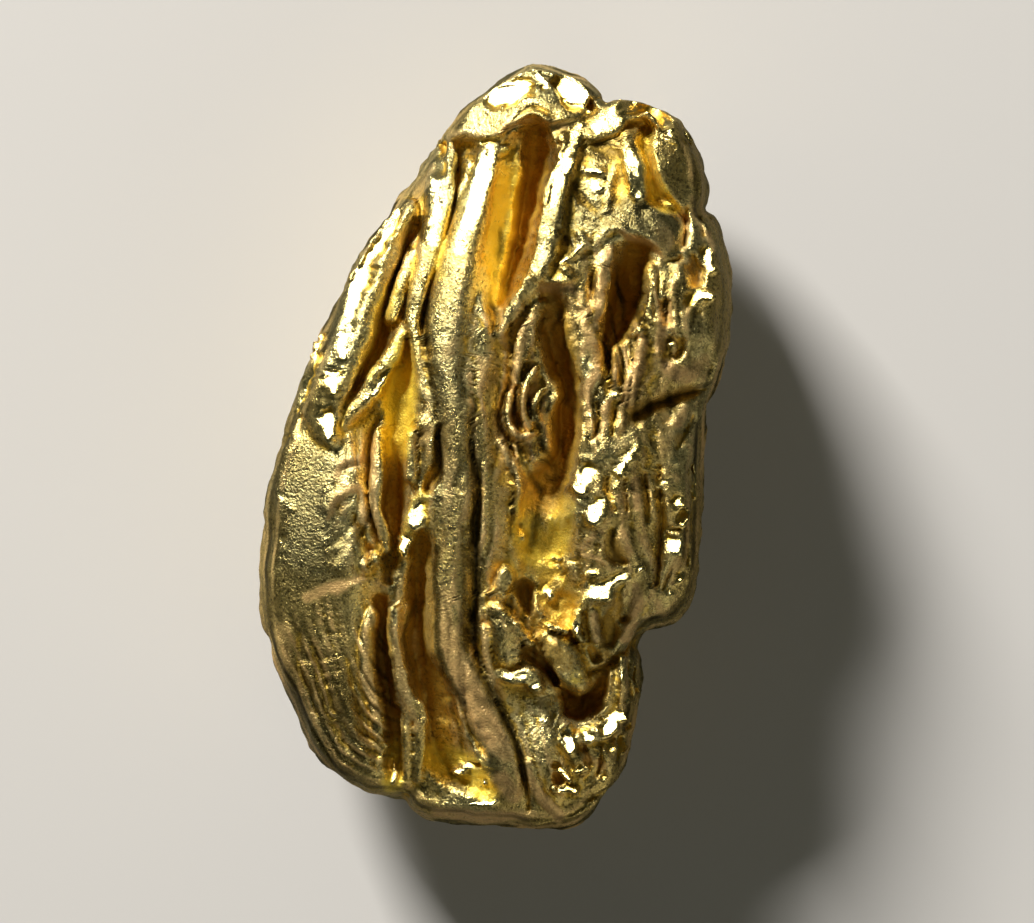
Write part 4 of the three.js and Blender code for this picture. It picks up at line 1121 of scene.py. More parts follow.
# Creases that run down the sides from the notches of the outline, as (start, end, half width, depth).
SIDE_CREASES = (
    ((2.75, 8.55, 5.0), (2.4, 8.6, 1.0), 0.35, 0.25),
    ((5.1, 5.95, 4.6), (4.6, 5.8, 1.0), 0.35, 0.3),
    ((5.2, 1.2, 4.6), (4.6, 0.4, 1.2), 0.4, 0.3),
    ((3.6, -4.8, 4.8), (3.3, -5.2, 0.9), 0.4, 0.35),
    ((-2.3, -8.75, 4.2), (-2.0, -8.3, 1.2), 0.35, 0.25),
    ((-5.6, -4.9, 3.8), (-4.8, -3.4, 1.2), 0.4, 0.25),
    ((-5.3, 0.3, 3.8), (-4.6, -0.8, 1.2), 0.4, 0.25),
    ((-3.9, 3.7, 4.2), (-3.6, 4.6, 1.4), 0.35, 0.2),
    ((-0.9, 8.2, 4.0), (-0.4, 7.8, 1.2), 0.35, 0.2),
)


@dataclass
class PlanOutline:
    """The outline of the nugget seen from above, as two sides that meet at the ends.

    Attributes:
        left: Drawn points of the left side as (x, y), from the broad end to the narrow end.
        right: Drawn points of the right side.
        samples: Even samples taken along each side.
    """

    left: tuple[tuple[float, float], ...] = (
        (1.1, 9.5), (0.8, 9.48), (0.5, 9.36), (0.25, 9.2), (-0.25, 8.88), (-0.7, 8.57), (-1.0, 8.25),
        (-1.3, 7.87), (-1.5, 7.5), (-1.75, 7.15), (-2.0, 6.75), (-2.5, 6.1), (-2.68, 5.8), (-2.9, 5.5),
        (-3.3, 4.9), (-3.65, 4.3), (-3.95, 3.7), (-4.3, 3.0), (-4.55, 2.4), (-4.8, 1.75), (-5.0, 1.2),
        (-5.3, 0.4), (-5.5, -0.4), (-5.7, -1.3), (-5.8, -2.3), (-5.87, -3.3), (-5.85, -4.2), (-5.65, -5.0),
        (-5.35, -5.8), (-5.05, -6.6), (-4.7, -7.3), (-4.3, -7.9), (-3.8, -8.35), (-3.5, -8.5),
        (-3.2, -8.64), (-2.8, -8.7), (-2.32, -8.78), (-2.1, -9.0), (-1.8, -9.18), (-1.5, -9.3),
        (-1.0, -9.35), (-0.5, -9.38), (0.4, -9.42), (0.8, -9.47),
    )
    right: tuple[tuple[float, float], ...] = (
        (1.1, 9.5), (1.4, 9.42), (1.75, 9.3), (2.1, 9.2), (2.4, 9.0), (2.6, 8.84), (2.76, 8.7), (3.0, 8.7),
        (3.6, 8.64), (4.3, 8.25), (4.8, 7.8), (5.1, 7.2), (5.22, 6.5), (5.24, 6.12), (5.22, 5.92),
        (5.38, 5.75), (5.5, 5.5), (5.6, 5.1), (5.7, 4.7), (5.8, 4.2), (5.78, 3.3), (5.7, 2.5), (5.6, 2.2),
        (5.45, 1.6), (5.27, 1.02), (5.2, 0.6), (5.12, -0.3), (5.08, -1.0), (5.05, -2.0), (4.97, -3.0),
        (4.8, -3.8), (4.65, -4.1), (4.4, -4.35), (3.85, -4.55), (3.64, -4.78), (3.6, -5.4), (3.58, -5.9),
        (3.45, -6.7), (3.25, -7.5), (3.05, -8.2), (2.62, -8.68), (2.35, -9.08), (1.8, -9.43), (1.2, -9.5),
        (0.8, -9.47),
    )
    samples: int = 700

    def side(self, drawn: tuple[tuple[float, float], ...], share: np.ndarray) -> np.ndarray:
        """Give points along one side, evenly by the length of its curve.

        Args:
            drawn: The drawn points of the side.
            share: How far down the side each point is, from 0 to 1.

        Returns:
            One (x, y) row per share.
        """
        curve = through_points(np.array(drawn, dtype=float), 12)
        run = np.concatenate([[0.0], np.cumsum(np.linalg.norm(np.diff(curve, axis=0), axis=1))])
        at = np.asarray(share) * run[-1]
        return np.stack([np.interp(at, run, curve[:, 0]), np.interp(at, run, curve[:, 1])], -1)

    def inset(self, x: np.ndarray, y: np.ndarray) -> np.ndarray:
        """Give the distance in from the outline, without a crease down the middle.

        Near the outline it is the plain distance. Farther in, every part of the outline counts by
        the inverse fourth power of its distance, and the sum is brought back to a distance by its
        power -1/3, scaled so that a straight edge gives the plain distance.

        Args:
            x: Across positions.
            y: Lengthwise positions.

        Returns:
            The distance at each point, in millimetres.
        """
        share = np.linspace(0, 1, self.samples)
        rim = np.vstack([self.side(self.left, share), self.side(self.right, share)[::-1]])
        start, span = rim[:-1], np.diff(rim, axis=0)
        length = (span**2).sum(1)
        keep = length > 1e-12
        start, span, length = start[keep], span[keep], length[keep]
        pitch = np.sqrt(length)
        out = np.empty(x.size)
        flat_x, flat_y = x.ravel(), y.ravel()
        for first in range(0, x.size, 4000):
            part = slice(first, first + 4000)
            to_x = flat_x[None, part] - start[:, :1]
            to_y = flat_y[None, part] - start[:, 1:]
            along = np.clip((to_x * span[:, :1] + to_y * span[:, 1:]) / length[:, None], 0, 1)
            gap = (to_x - along * span[:, :1]) ** 2 + (to_y - along * span[:, 1:]) ** 2
            near = np.sqrt(gap.min(0))
            pull = (pitch[:, None] / np.maximum(gap, 1e-6) ** 2).sum(0)
            even = 1.2 * (2 * pull / math.pi) ** (-1 / 3)
            out[part] = near + (even - near) * smooth_step(0.2, 1.6, near)
        return out.reshape(x.shape)


# The widths over which hollows are sought, as (grid cells, usual depth in millimetres, share).
HOLLOW_SPANS = ((2, 0.03, 0.3), (5, 0.09, 0.35), (12, 0.3, 0.35))


@dataclass
class NuggetSkin:
    """The nugget's closed skin, as one grid.

    Attributes:
        outline: The plan outline.
        parting_height: Mean height of the outline above the resting surface, in millimetres.
        shoulder: Rise, mean run and fullness of the steep shoulder inside the outline.
        dome: Rise and run of the gentle dome on top of it.
        belly: Drop, run and fullness of the lower arch.
        end_thinning: Share of its height that the nugget has lost at the narrow end.
        end_rub: How rubbed the skin's two closing points are.
        crumple_size: Size of the coarsest crumples, in millimetres.
        crumple_depth: Depth of the crumpling, in millimetres.
        fold_height: Height of the fine folds, in millimetres.
        fold_pitch: Distance between the fine folds in the open, in millimetres.
        rim_pitch: The same along the rim and in the striated patch.
        side_lumps: Size and depth of the lumps on the sides, in millimetres.
        under_lumps: The same on the underside.
        grain: Size of the grain, its height on smooth skin and what full crumpling adds to it.
        sections: Steps along the length.
        upper_steps: Steps over the upper side.
        under_steps: Steps under it.
        centre: The middle of the outline's box, which is moved onto the origin.
    """

    outline: PlanOutline = field(default_factory=PlanOutline)
    parting_height: float = 3.3
    shoulder: tuple[float, float, float] = (2.0, 0.46, 2.0)
    dome: tuple[float, float] = (1.5, 5.6)
    belly: tuple[float, float, float] = (2.95, 4.2, 1.9)
    end_thinning: float = 0.16
    end_rub: float = 0.3
    crumple_size: float = 0.85
    crumple_depth: float = 0.3
    fold_height: float = 0.055
    fold_pitch: float = 0.42
    rim_pitch: float = 0.3
    side_lumps: tuple[float, float] = (1.9, 0.22)
    under_lumps: tuple[float, float] = (1.4, 0.2)
    grain: tuple[float, float, float] = (0.36, 0.002, 0.022)
    sections: int = 396
    upper_steps: int = 186
    under_steps: int = 64
    centre: tuple[float, float] = (-0.032, 0.0)

    def arch(
        self, inset: np.ndarray, y: np.ndarray, run: float | np.ndarray, fullness: float
    ) -> np.ndarray:
        """Give the rise of the smooth pillow, 0 on the outline and 1 at the full run in.

        The rise is (1 - (1 - inset / run) ^ fullness) ^ (1 / fullness), thinned towards the
        narrow end by a smooth step.

        Args:
            inset: Distance in from the outline.
            y: Lengthwise positions.
            run: Distance over which the arch rises.
            fullness: Exponent of the arch: 2 is an ellipse, more is squarer.

        Returns:
            The rise at each point.
        """
        out = 1 - np.clip(inset / run, 0, 1)
        thinning = 1 - self.end_thinning * smooth_step(-1.0, 9.0, -y)
        return thinning * np.clip(1 - out**fullness, 0, None) ** (1 / fullness)

    def parting(self, x: np.ndarray, y: np.ndarray) -> np.ndarray:
        """Give the height of the outline, which wanders gently with two sine waves."""
        return self.parting_height + 0.25 * np.sin(0.33 * y + 0.6) + 0.2 * np.sin(0.5 * x - 0.8)

    def shoulder_lift(self, x: np.ndarray, y: np.ndarray, inset: np.ndarray) -> np.ndarray:
        """Give the rise of the shoulder, 0 on the outline and 1 where the dome takes over.

        Its run wavers round the nugget with two sine waves, by up to three fifths.

        Args:
            x: Across positions.
            y: Lengthwise positions.
            inset: Distance in from the outline.

        Returns:
            The rise at each point.
        """
        waver = 1 + 0.35 * np.sin(1.1 * y + 0.7 + 0.3 * x) + 0.25 * np.sin(2.7 * y - 1.3 * x)
        return self.arch(inset, y, self.shoulder[1] * waver, self.shoulder[2])

    def plan_grid(self, across: np.ndarray) -> tuple[np.ndarray, np.ndarray]:
        """Place the grid in plan: each section is a straight line between the two sides.

        Args:
            across: Share of the way from left to right, one row per section.

        Returns:
            The x and y of each grid point.
        """
        share = np.linspace(0, 1, self.sections + 1)[1:-1]
        left = self.outline.side(self.outline.left, share)[:, None, :]
        right = self.outline.side(self.outline.right, share)[:, None, :]
        plan = left + across[..., None] * (right - left)
        return plan[..., 0], plan[..., 1]

    def smooth_top(self, x: np.ndarray, y: np.ndarray, inset: np.ndarray) -> np.ndarray:
        """Give the smooth upper side: the outline's height, the steep shoulder and the gentle dome.

        Args:
            x: Across positions.
            y: Lengthwise positions.
            inset: Distance in from the outline.

        Returns:
            The height above the resting surface, in millimetres.
        """
        dome = 1 - (1 - np.clip(inset / self.dome[1], 0, 1)) ** 2
        steep = self.shoulder[0] * self.shoulder_lift(x, y, inset)
        return self.parting(x, y) + steep + self.dome[0] * dome

    def upper_height(self, x: np.ndarray, y: np.ndarray) -> np.ndarray:
        """Give the height of the upper side, with its strokes and its crumpling.

        Args:
            x: Across positions.
            y: Lengthwise positions.

        Returns:
            The height above the resting surface, in millimetres.
        """
        inset = self.outline.inset(x, y)
        lift = self.shoulder_lift(x, y, inset)
        drawn_x, drawn_y, ragged = self.drifted(x, y)
        relief = np.zeros_like(x)
        for mark in UPPER_MARKS:
            fray = ragged if mark.kind is Stroke.CUT else 0.0
            mark.work(relief, drawn_x + fray, drawn_y - fray)
        swirled = np.stack([4 * drawn_x - 3 * x, 0.62 * (3 * drawn_y - 2 * y), np.zeros_like(x)], -1)
        crumple = GradientNoise(11).creased(swirled, self.crumple_size, 5)
        in_pits = 0.6 * smooth_step(-0.5, -1.3, relief)
        relief = relief - self.crumple_depth * np.maximum(self.crumpling(x, y), in_pits) * crumple
        lines, strength = self.folds(x, y, inset)
        relief = relief + self.fold_height * strength * lines
        height = self.smooth_top(x, y, inset) + relief * np.clip(1.3 * lift, 0, 1)
        for facet in FACETS:
            facet.work(height, drawn_x + ragged / 2, drawn_y - ragged / 2, 1.5 * ragged)
        return height

    @staticmethod
    def drifted(x: np.ndarray, y: np.ndarray) -> tuple[np.ndarray, np.ndarray, np.ndarray]:
        """Shift the points a little with smooth noise, so that drawn lines waver.

        Args:
            x: Across positions.
            y: Lengthwise positions.

        Returns:
            The shifted x and y, and a finer shift for ragged edges.
        """
        flat = np.stack([x, y, np.zeros_like(x)], -1)
        warp = GradientNoise(3)
        shift_x = 0.05 * warp.layered(flat, 1.1, 2)
        shift_y = 0.08 * warp.layered(flat + 40.0, 1.1, 2)
        ragged = 0.05 * warp.layered(flat + 80.0, 0.4, 3, 0.6)
        return x + shift_x, y + shift_y, ragged

    def tinted(self, rings: np.ndarray) -> dict[str, np.ndarray]:
        """Work out how strongly each tint lies on each point: only the upper side has them.

        Args:
            rings: Points by section and step.

        Returns:
            The strengths by name of tint, and how fresh and bare the metal is.
        """
        upper = rings[:, : self.upper_steps + 1]
        drawn_x, drawn_y, ragged = self.drifted(upper[..., 0], upper[..., 1])
        parts = {tint.name.lower(): np.zeros(drawn_x.shape) for tint in Tint}
        for light_and_stain in PAINTED_LIGHT_AND_STAINS:
            light_and_stain.lay(parts[light_and_stain.tint.name.lower()], drawn_x + ragged, drawn_y - ragged)
        fresh = np.zeros(drawn_x.shape)
        for facet in FACETS:
            facet.clean(fresh, drawn_x + ragged / 2, drawn_y - ragged / 2, 1.5 * ragged)
        parts["fresh"] = fresh
        inset = self.outline.inset(upper[..., 0], upper[..., 1])
        lines, strength = self.folds(upper[..., 0], upper[..., 1], inset)
        # Painted warm reflection along the fold crests, and painted shade along the fold troughs.
        for name, level in (("tan", lines), ("soot_and_painted_shade", -lines)):
            streaks = np.minimum(strength, 1.0) * smooth_step(0.0, 0.7, level)
            parts[name] = np.maximum(parts[name], streaks)
        bare = np.zeros((len(rings), rings.shape[1] - upper.shape[1]))
        return {name: np.hstack([part, bare]) for name, part in parts.items()}

    @staticmethod
    def patches(
        patches: tuple[tuple[float, ...], ...], x: np.ndarray, y: np.ndarray, least: float = 0.0
    ) -> np.ndarray:
        """Give the strength of something that is strong in soft oval patches.

        Args:
            patches: Patches as (middle x, middle y, half width, half length, strength).
            x: Across positions.
            y: Lengthwise positions.
            least: Strength outside every patch.

        Returns:
            The strength at each point, from about 0 to 1.
        """
        strength = np.full_like(x, least)
        for middle_x, middle_y, half_x, half_y, amount in patches:
            away = ((x - middle_x) / half_x) ** 2 + ((y - middle_y) / half_y) ** 2
            strength = np.maximum(strength, amount * (1 - smooth_step(0.5, 1.5, away)))
        return strength

    def crumpling(self, x: np.ndarray, y: np.ndarray) -> np.ndarray:
        """Give the strength of the crumpling."""
        return self.patches(CRUMPLED_PATCHES, x, y, 0.05)

    def folds(
        self, x: np.ndarray, y: np.ndarray, inset: np.ndarray
    ) -> tuple[np.ndarray, np.ndarray]:
        """Give the fine folds that flow along the nugget.

        They are two sine waves across a swirled coordinate: the across position in the folded
        patches, and the distance from the outline along the rim and in the striated patch.

        Args:
            x: Across positions.
            y: Lengthwise positions.
            inset: Distance in from the outline.

        Returns:
            The folds, about -1 in the troughs and 1 on the crests, and their strength.
        """
        stretched = np.stack([x, 0.45 * y, np.full_like(x, 12.0)], -1)
        swirl = GradientNoise(8)
        shift = 0.55 * swirl.layered(stretched, 1.5, 3, 0.5)
        striated = self.patches((STRIATED_PATCH,), x, y)
        rim = 0.7 * (1 - smooth_step(0.35, 0.6, inset))
        follows = (striated > 0.02) | (inset < 0.6)
        across = np.where(follows, inset + 0.25 * shift, x + shift)
        turn = 2 * math.pi * across / np.where(follows, self.rim_pitch, self.fold_pitch)
        lines = 0.7 * np.sin(turn) + 0.45 * np.sin(2.3 * turn + 4 * shift)
        flowing = self.patches(FLOWING_PATCHES, x, y) * smooth_step(0.6, 0.9, inset)
        strength = np.maximum(np.maximum(flowing, striated), rim)
        fading = 0.8 + 0.9 * swirl.layered(stretched + 50.0, 0.9, 2)
        return lines, strength * np.clip(fading, 0.2, 1.15)

    def under_height(self, x: np.ndarray, y: np.ndarray) -> np.ndarray:
        """Give the height of the underside, before it is worn flat where it would pass the resting surface.

        Args:
            x: Across positions.
            y: Lengthwise positions.

        Returns:
            The height above the resting surface, in millimetres.
        """
        inset = self.outline.inset(x, y)
        lift = self.arch(inset, y, *self.belly[1:])
        flat = np.stack([x, y, np.full_like(x, 30.0)], -1)
        relief = np.zeros_like(x)
        warp = GradientNoise(5)
        shift = 0.12 * warp.layered(flat, 1.2, 3)
        for mark in UNDERSIDE:
            mark.work(relief, x + shift, y - shift)
        size, depth = self.under_lumps
        relief = relief - depth * warp.creased(flat, size, 4)
        return self.parting(x, y) - (self.belly[0] + relief) * lift

    def even_out(self, across: np.ndarray, height: np.ndarray) -> np.ndarray:
        """Move grid points along their sections towards even steps over the worked surface.

        Args:
            across: Share of the way across each section, one row per section.
            height: Height at each grid point.

        Returns:
            New shares, a mix of the first ones and ones evenly spaced by surface length.
        """
        x, y = self.plan_grid(across)
        step = np.linalg.norm(np.diff(np.stack([x, y, height]), axis=2), axis=0)
        kernel = np.array([1, 4, 6, 4, 1]) / 16
        padded = np.pad(step, ((2, 2), (2, 2)), mode="edge")
        rows = sum(kernel[k] * padded[k : k + step.shape[0]] for k in range(5))
        soft = sum(kernel[k] * rows[:, k : k + step.shape[1]] for k in range(5))
        run = np.concatenate([np.zeros((len(step), 1)), np.cumsum(soft, axis=1)], axis=1)
        run = run / run[:, -1:]
        even = np.linspace(0, 1, across.shape[1])
        wanted = np.stack([np.interp(even, line, shares) for line, shares in zip(run, across)])
        return 0.25 * across + 0.75 * wanted

    def rings(self) -> np.ndarray:
        """Work out the rings of the skin, each from the left rim over the top and back under.

        Returns:
            Points in millimetres, by section and step round the section.
        """
        turn = np.linspace(0, 1, self.upper_steps + 1)
        across = np.tile((1 - np.cos(math.pi * turn)) / 2, (self.sections - 1, 1))
        x, y = self.plan_grid(across)
        across = self.even_out(across, self.upper_height(x, y))
        x, y = self.plan_grid(across)
        upper = np.stack([x, y, self.upper_height(x, y)], -1)
        turn = np.linspace(1, 0, self.under_steps + 1)[1:-1]
        across = np.tile((1 - np.cos(math.pi * turn)) / 2, (self.sections - 1, 1))
        x, y = self.plan_grid(across)
        under = np.stack([x, y, self.under_height(x, y)], -1)
        return np.concatenate([upper, under], axis=1)

    @staticmethod
    def outward(rings: np.ndarray) -> np.ndarray:
        """Give the outward direction at each point of the rings.

        The direction is the cross product of the central differences along and round the nugget.

        Args:
            rings: Points by section and step.

        Returns:
            Unit directions of the same shape.
        """
        along = np.gradient(rings, axis=0)
        around = np.roll(rings, -1, axis=1) - np.roll(rings, 1, axis=1)
        normal = np.cross(around, along)
        size = np.linalg.norm(normal, axis=-1, keepdims=True)
        return -normal / np.maximum(size, 1e-9)

    @staticmethod
    def blurred(values: np.ndarray, radius: int) -> np.ndarray:
        """Average values over a square of grid cells, wrapping round each ring.

        Args:
            values: Values by section and step, with any further axes.
            radius: Cells on each side of the middle.

        Returns:
            The averages, of the same shape.
        """
        width = 2 * radius + 1
        tail = [(0, 0)] * (values.ndim - 2)
        rows = np.pad(values, [(radius + 1, radius), (0, 0), *tail], mode="edge").cumsum(0)
        rows = (rows[width:] - rows[:-width]) / width
        wrapped = np.pad(rows, [(0, 0), (radius + 1, radius), *tail], mode="wrap").cumsum(1)
        return (wrapped[:, width:] - wrapped[:, :-width]) / width

    def weathered(self, rings: np.ndarray) -> np.ndarray:
        """Roughen the rings with lumps along their outward direction, and wear the base flat.

        The sides get lumps of about 1 mm and a few creases that run on from the notches of the
        outline; the whole skin gets grain of 0.4 mm and less.

        Args:
            rings: Points by section and step.

        Returns:
            The roughened points.
        """
        out = self.outward(self.blurred(rings, 4))
        side = 1 - smooth_step(0.25, 0.8, np.abs(out[..., 2]))
        size, depth = self.side_lumps
        push = -depth * side * GradientNoise(21).creased(rings, size, 3)
        for start, end, half, depth in SIDE_CREASES:
            span = np.subtract(end, start)
            share = np.clip(((rings - start) @ span) / (span @ span), 0, 1)
            gap = np.linalg.norm(rings - start - share[..., None] * span, axis=-1)
            push = push - depth * np.exp(-2.2 * gap / half)
        rings = rings + out * push[..., None]
        out = self.outward(self.blurred(rings, 1))
        size, least, added = self.grain
        grain = GradientNoise(31).layered(rings, size, 3, 0.6)
        amount = least + added * self.crumpling(rings[..., 0], rings[..., 1])
        rings = rings + out * (amount * grain)[..., None]
        rings[..., 2] = np.maximum(rings[..., 2], 0.0)
        return rings

    def mesh_parts(self) -> tuple[np.ndarray, np.ndarray, np.ndarray, dict[str, np.ndarray]]:
        """Work out the points and faces of the skin, and the values that its finish reads.

        Returns:
            Points in metres, corner indices of the faces, corners per face, and named values per
            point: recess, rub, fresh and the tints, all 0 to 1.
        """
        rings = self.weathered(self.rings())
        out = self.outward(rings)
        hollow = sum(
            share * ((self.blurred(rings, cells) - rings) * out).sum(-1) / usual
            for cells, usual, share in HOLLOW_SPANS
        )
        upper = rings[:, : self.upper_steps + 1]
        inset = self.outline.inset(upper[..., 0], upper[..., 1])
        top = self.smooth_top(upper[..., 0], upper[..., 1], inset)
        depth = np.zeros(rings.shape[:2])
        sunk = smooth_step(0.35, 1.7, top - upper[..., 2])
        depth[:, : self.upper_steps + 1] = sunk * smooth_step(0.3, 0.9, inset)
        ends = [np.array([*self.outline.right[k], 0.0]) for k in (0, -1)]
        for end in ends:
            end[2] = self.parting(end[0], end[1])
        points = np.vstack([ends[0], rings.reshape(-1, 3), ends[1]])
        points[:, :2] -= self.centre
        count, ring = rings.shape[:2]
        grid = 1 + np.arange(count * ring).reshape(count, ring)
        after = np.roll(grid, -1, axis=1)
        quads = np.stack([grid[:-1], grid[1:], after[1:], after[:-1]], -1).reshape(-1, 4)
        first = np.stack([np.zeros(ring, int), grid[0], after[0]], -1)
        last = np.stack([np.full(ring, len(points) - 1), after[-1], grid[-1]], -1)
        loops = np.concatenate([quads.ravel(), first.ravel(), last.ravel()])
        totals = np.concatenate([np.full(len(quads), 4), np.full(2 * ring, 3)])
        layers = self.tinted(rings)
        layers["recess"] = np.clip(np.maximum(0.6 * hollow, depth), 0, 1)
        layers["rub"] = np.clip(-hollow, 0, 1)
        values = {name: np.pad(layer.ravel(), 1) for name, layer in layers.items()}
        values["rub"][[0, -1]] = self.end_rub
        return points * MM, loops, totals, values


def put_mesh(name: str, points: np.ndarray, loops: np.ndarray, totals: np.ndarray) -> bpy.types.Object:
    """Make a smooth-shaded mesh object from arrays.

    Args:
        name: The object's name.
        points: Points in metres, one row each.
        loops: Corner indices of every face, one after another.
        totals: Number of corners of each face.

    Returns:
        The new object, linked to the scene.
    """
    mesh = bpy.data.meshes.new(name)
    mesh.vertices.add(len(points))
    mesh.vertices.foreach_set("co", points.astype(np.float32).ravel())
    mesh.loops.add(len(loops))
    mesh.loops.foreach_set("vertex_index", loops.astype(np.int32))
    mesh.polygons.add(len(totals))
    starts = np.concatenate([[0], np.cumsum(totals)[:-1]])
    mesh.polygons.foreach_set("loop_start", starts.astype(np.int32))
    mesh.polygons.foreach_set("use_smooth", np.ones(len(totals), dtype=bool))
    mesh.update(calc_edges=True)
    mesh.validate()
    thing = bpy.data.objects.new(name, mesh)
    bpy.context.scene.collection.objects.link(thing)
    return thing


class Nodes:
    """A short way of wiring a material's nodes."""

    def __init__(self, name: str) -> None:
        """Start an empty material.

        Args:
            name: The material's name.
        """
        self.material = bpy.data.materials.new(name)
        self.material.use_nodes = True
        self.tree = self.material.node_tree
        self.tree.nodes.clear()

    def add(self, kind: str, settings: dict | None = None, **inputs: object) -> bpy.types.Node:
        """Add a node.

        Args:
            kind: The node's type name, without its ShaderNode prefix.
            settings: Attributes to set on the node.
            inputs: Values or output sockets by input name, with underscores for spaces.

        Returns:
            The new node.
        """
        node = self.tree.nodes.new(f"ShaderNode{kind}")
        for key, value in (settings or {}).items():
            setattr(node, key, value)
        for key, value in inputs.items():
            self.join(value, node.inputs[key.replace("_", " ")])
        return node

    def join(self, value: object, socket: Socket) -> None:
        """Link an output to a socket, or set the socket's value.

        Args:
            value: An output socket or a plain value.
            socket: The input socket.
        """
        if isinstance(value, Socket):
            self.tree.links.new(value, socket)
        else:
            socket.default_value = value

    def math(self, operation: str, first: object, second: object = 0.0) -> Socket:
        """Combine two values.

        Args:
            operation: The Math node's operation.
            first: The first value or socket.
            second: The second.

        Returns:
            The result's socket.
        """
        node = self.tree.nodes.new("ShaderNodeMath")
        node.operation = operation
        self.join(first, node.inputs[0])
        self.join(second, node.inputs[1])
        return node.outputs[0]

    def ramp(
        self, value: Socket, low: float, high: float, start: float = 0.0, end: float = 1.0
    ) -> Socket:
        """Map a value smoothly from one range to another.

        Args:
            value: The socket to map.
            low: The value that maps to start.
            high: The value that maps to end.
            start: Result at low and under it.
            end: Result at high and over it.

        Returns:
            The result's socket.
        """
        node = self.add("MapRange", {"interpolation_type": "SMOOTHSTEP"})
        for socket, setting in zip(node.inputs, (value, low, high, start, end)):
            self.join(setting, socket)
        return node.outputs[0]

    def blend(self, share: object, first: object, second: object) -> Socket:
        """Mix two colours.

        Args:
            share: Share of the second colour, as a value or a socket.
            first: The first colour or its socket.
            second: The second.

        Returns:
            The mixed colour's socket.
        """
        node = self.tree.nodes.new("ShaderNodeMix")
        node.data_type = "RGBA"
        self.join(share, node.inputs[0])
        self.join(first, node.inputs[6])
        self.join(second, node.inputs[7])
        return node.outputs[2]

    def noise(self, where: Socket, size: float, detail: float = 3.0, rough: float = 0.55) -> Socket:
        """Add noise of a given size.

        Args:
            where: The coordinates' socket.
            size: Size of a lump, in metres.
            detail: Layers of finer noise.
            rough: Strength of the finer layers.

        Returns:
            The noise value's socket.
        """
        node = self.add("TexNoise", Vector=where, Scale=1.0 / size, Detail=detail, Roughness=rough)
        return node.outputs["Fac"]


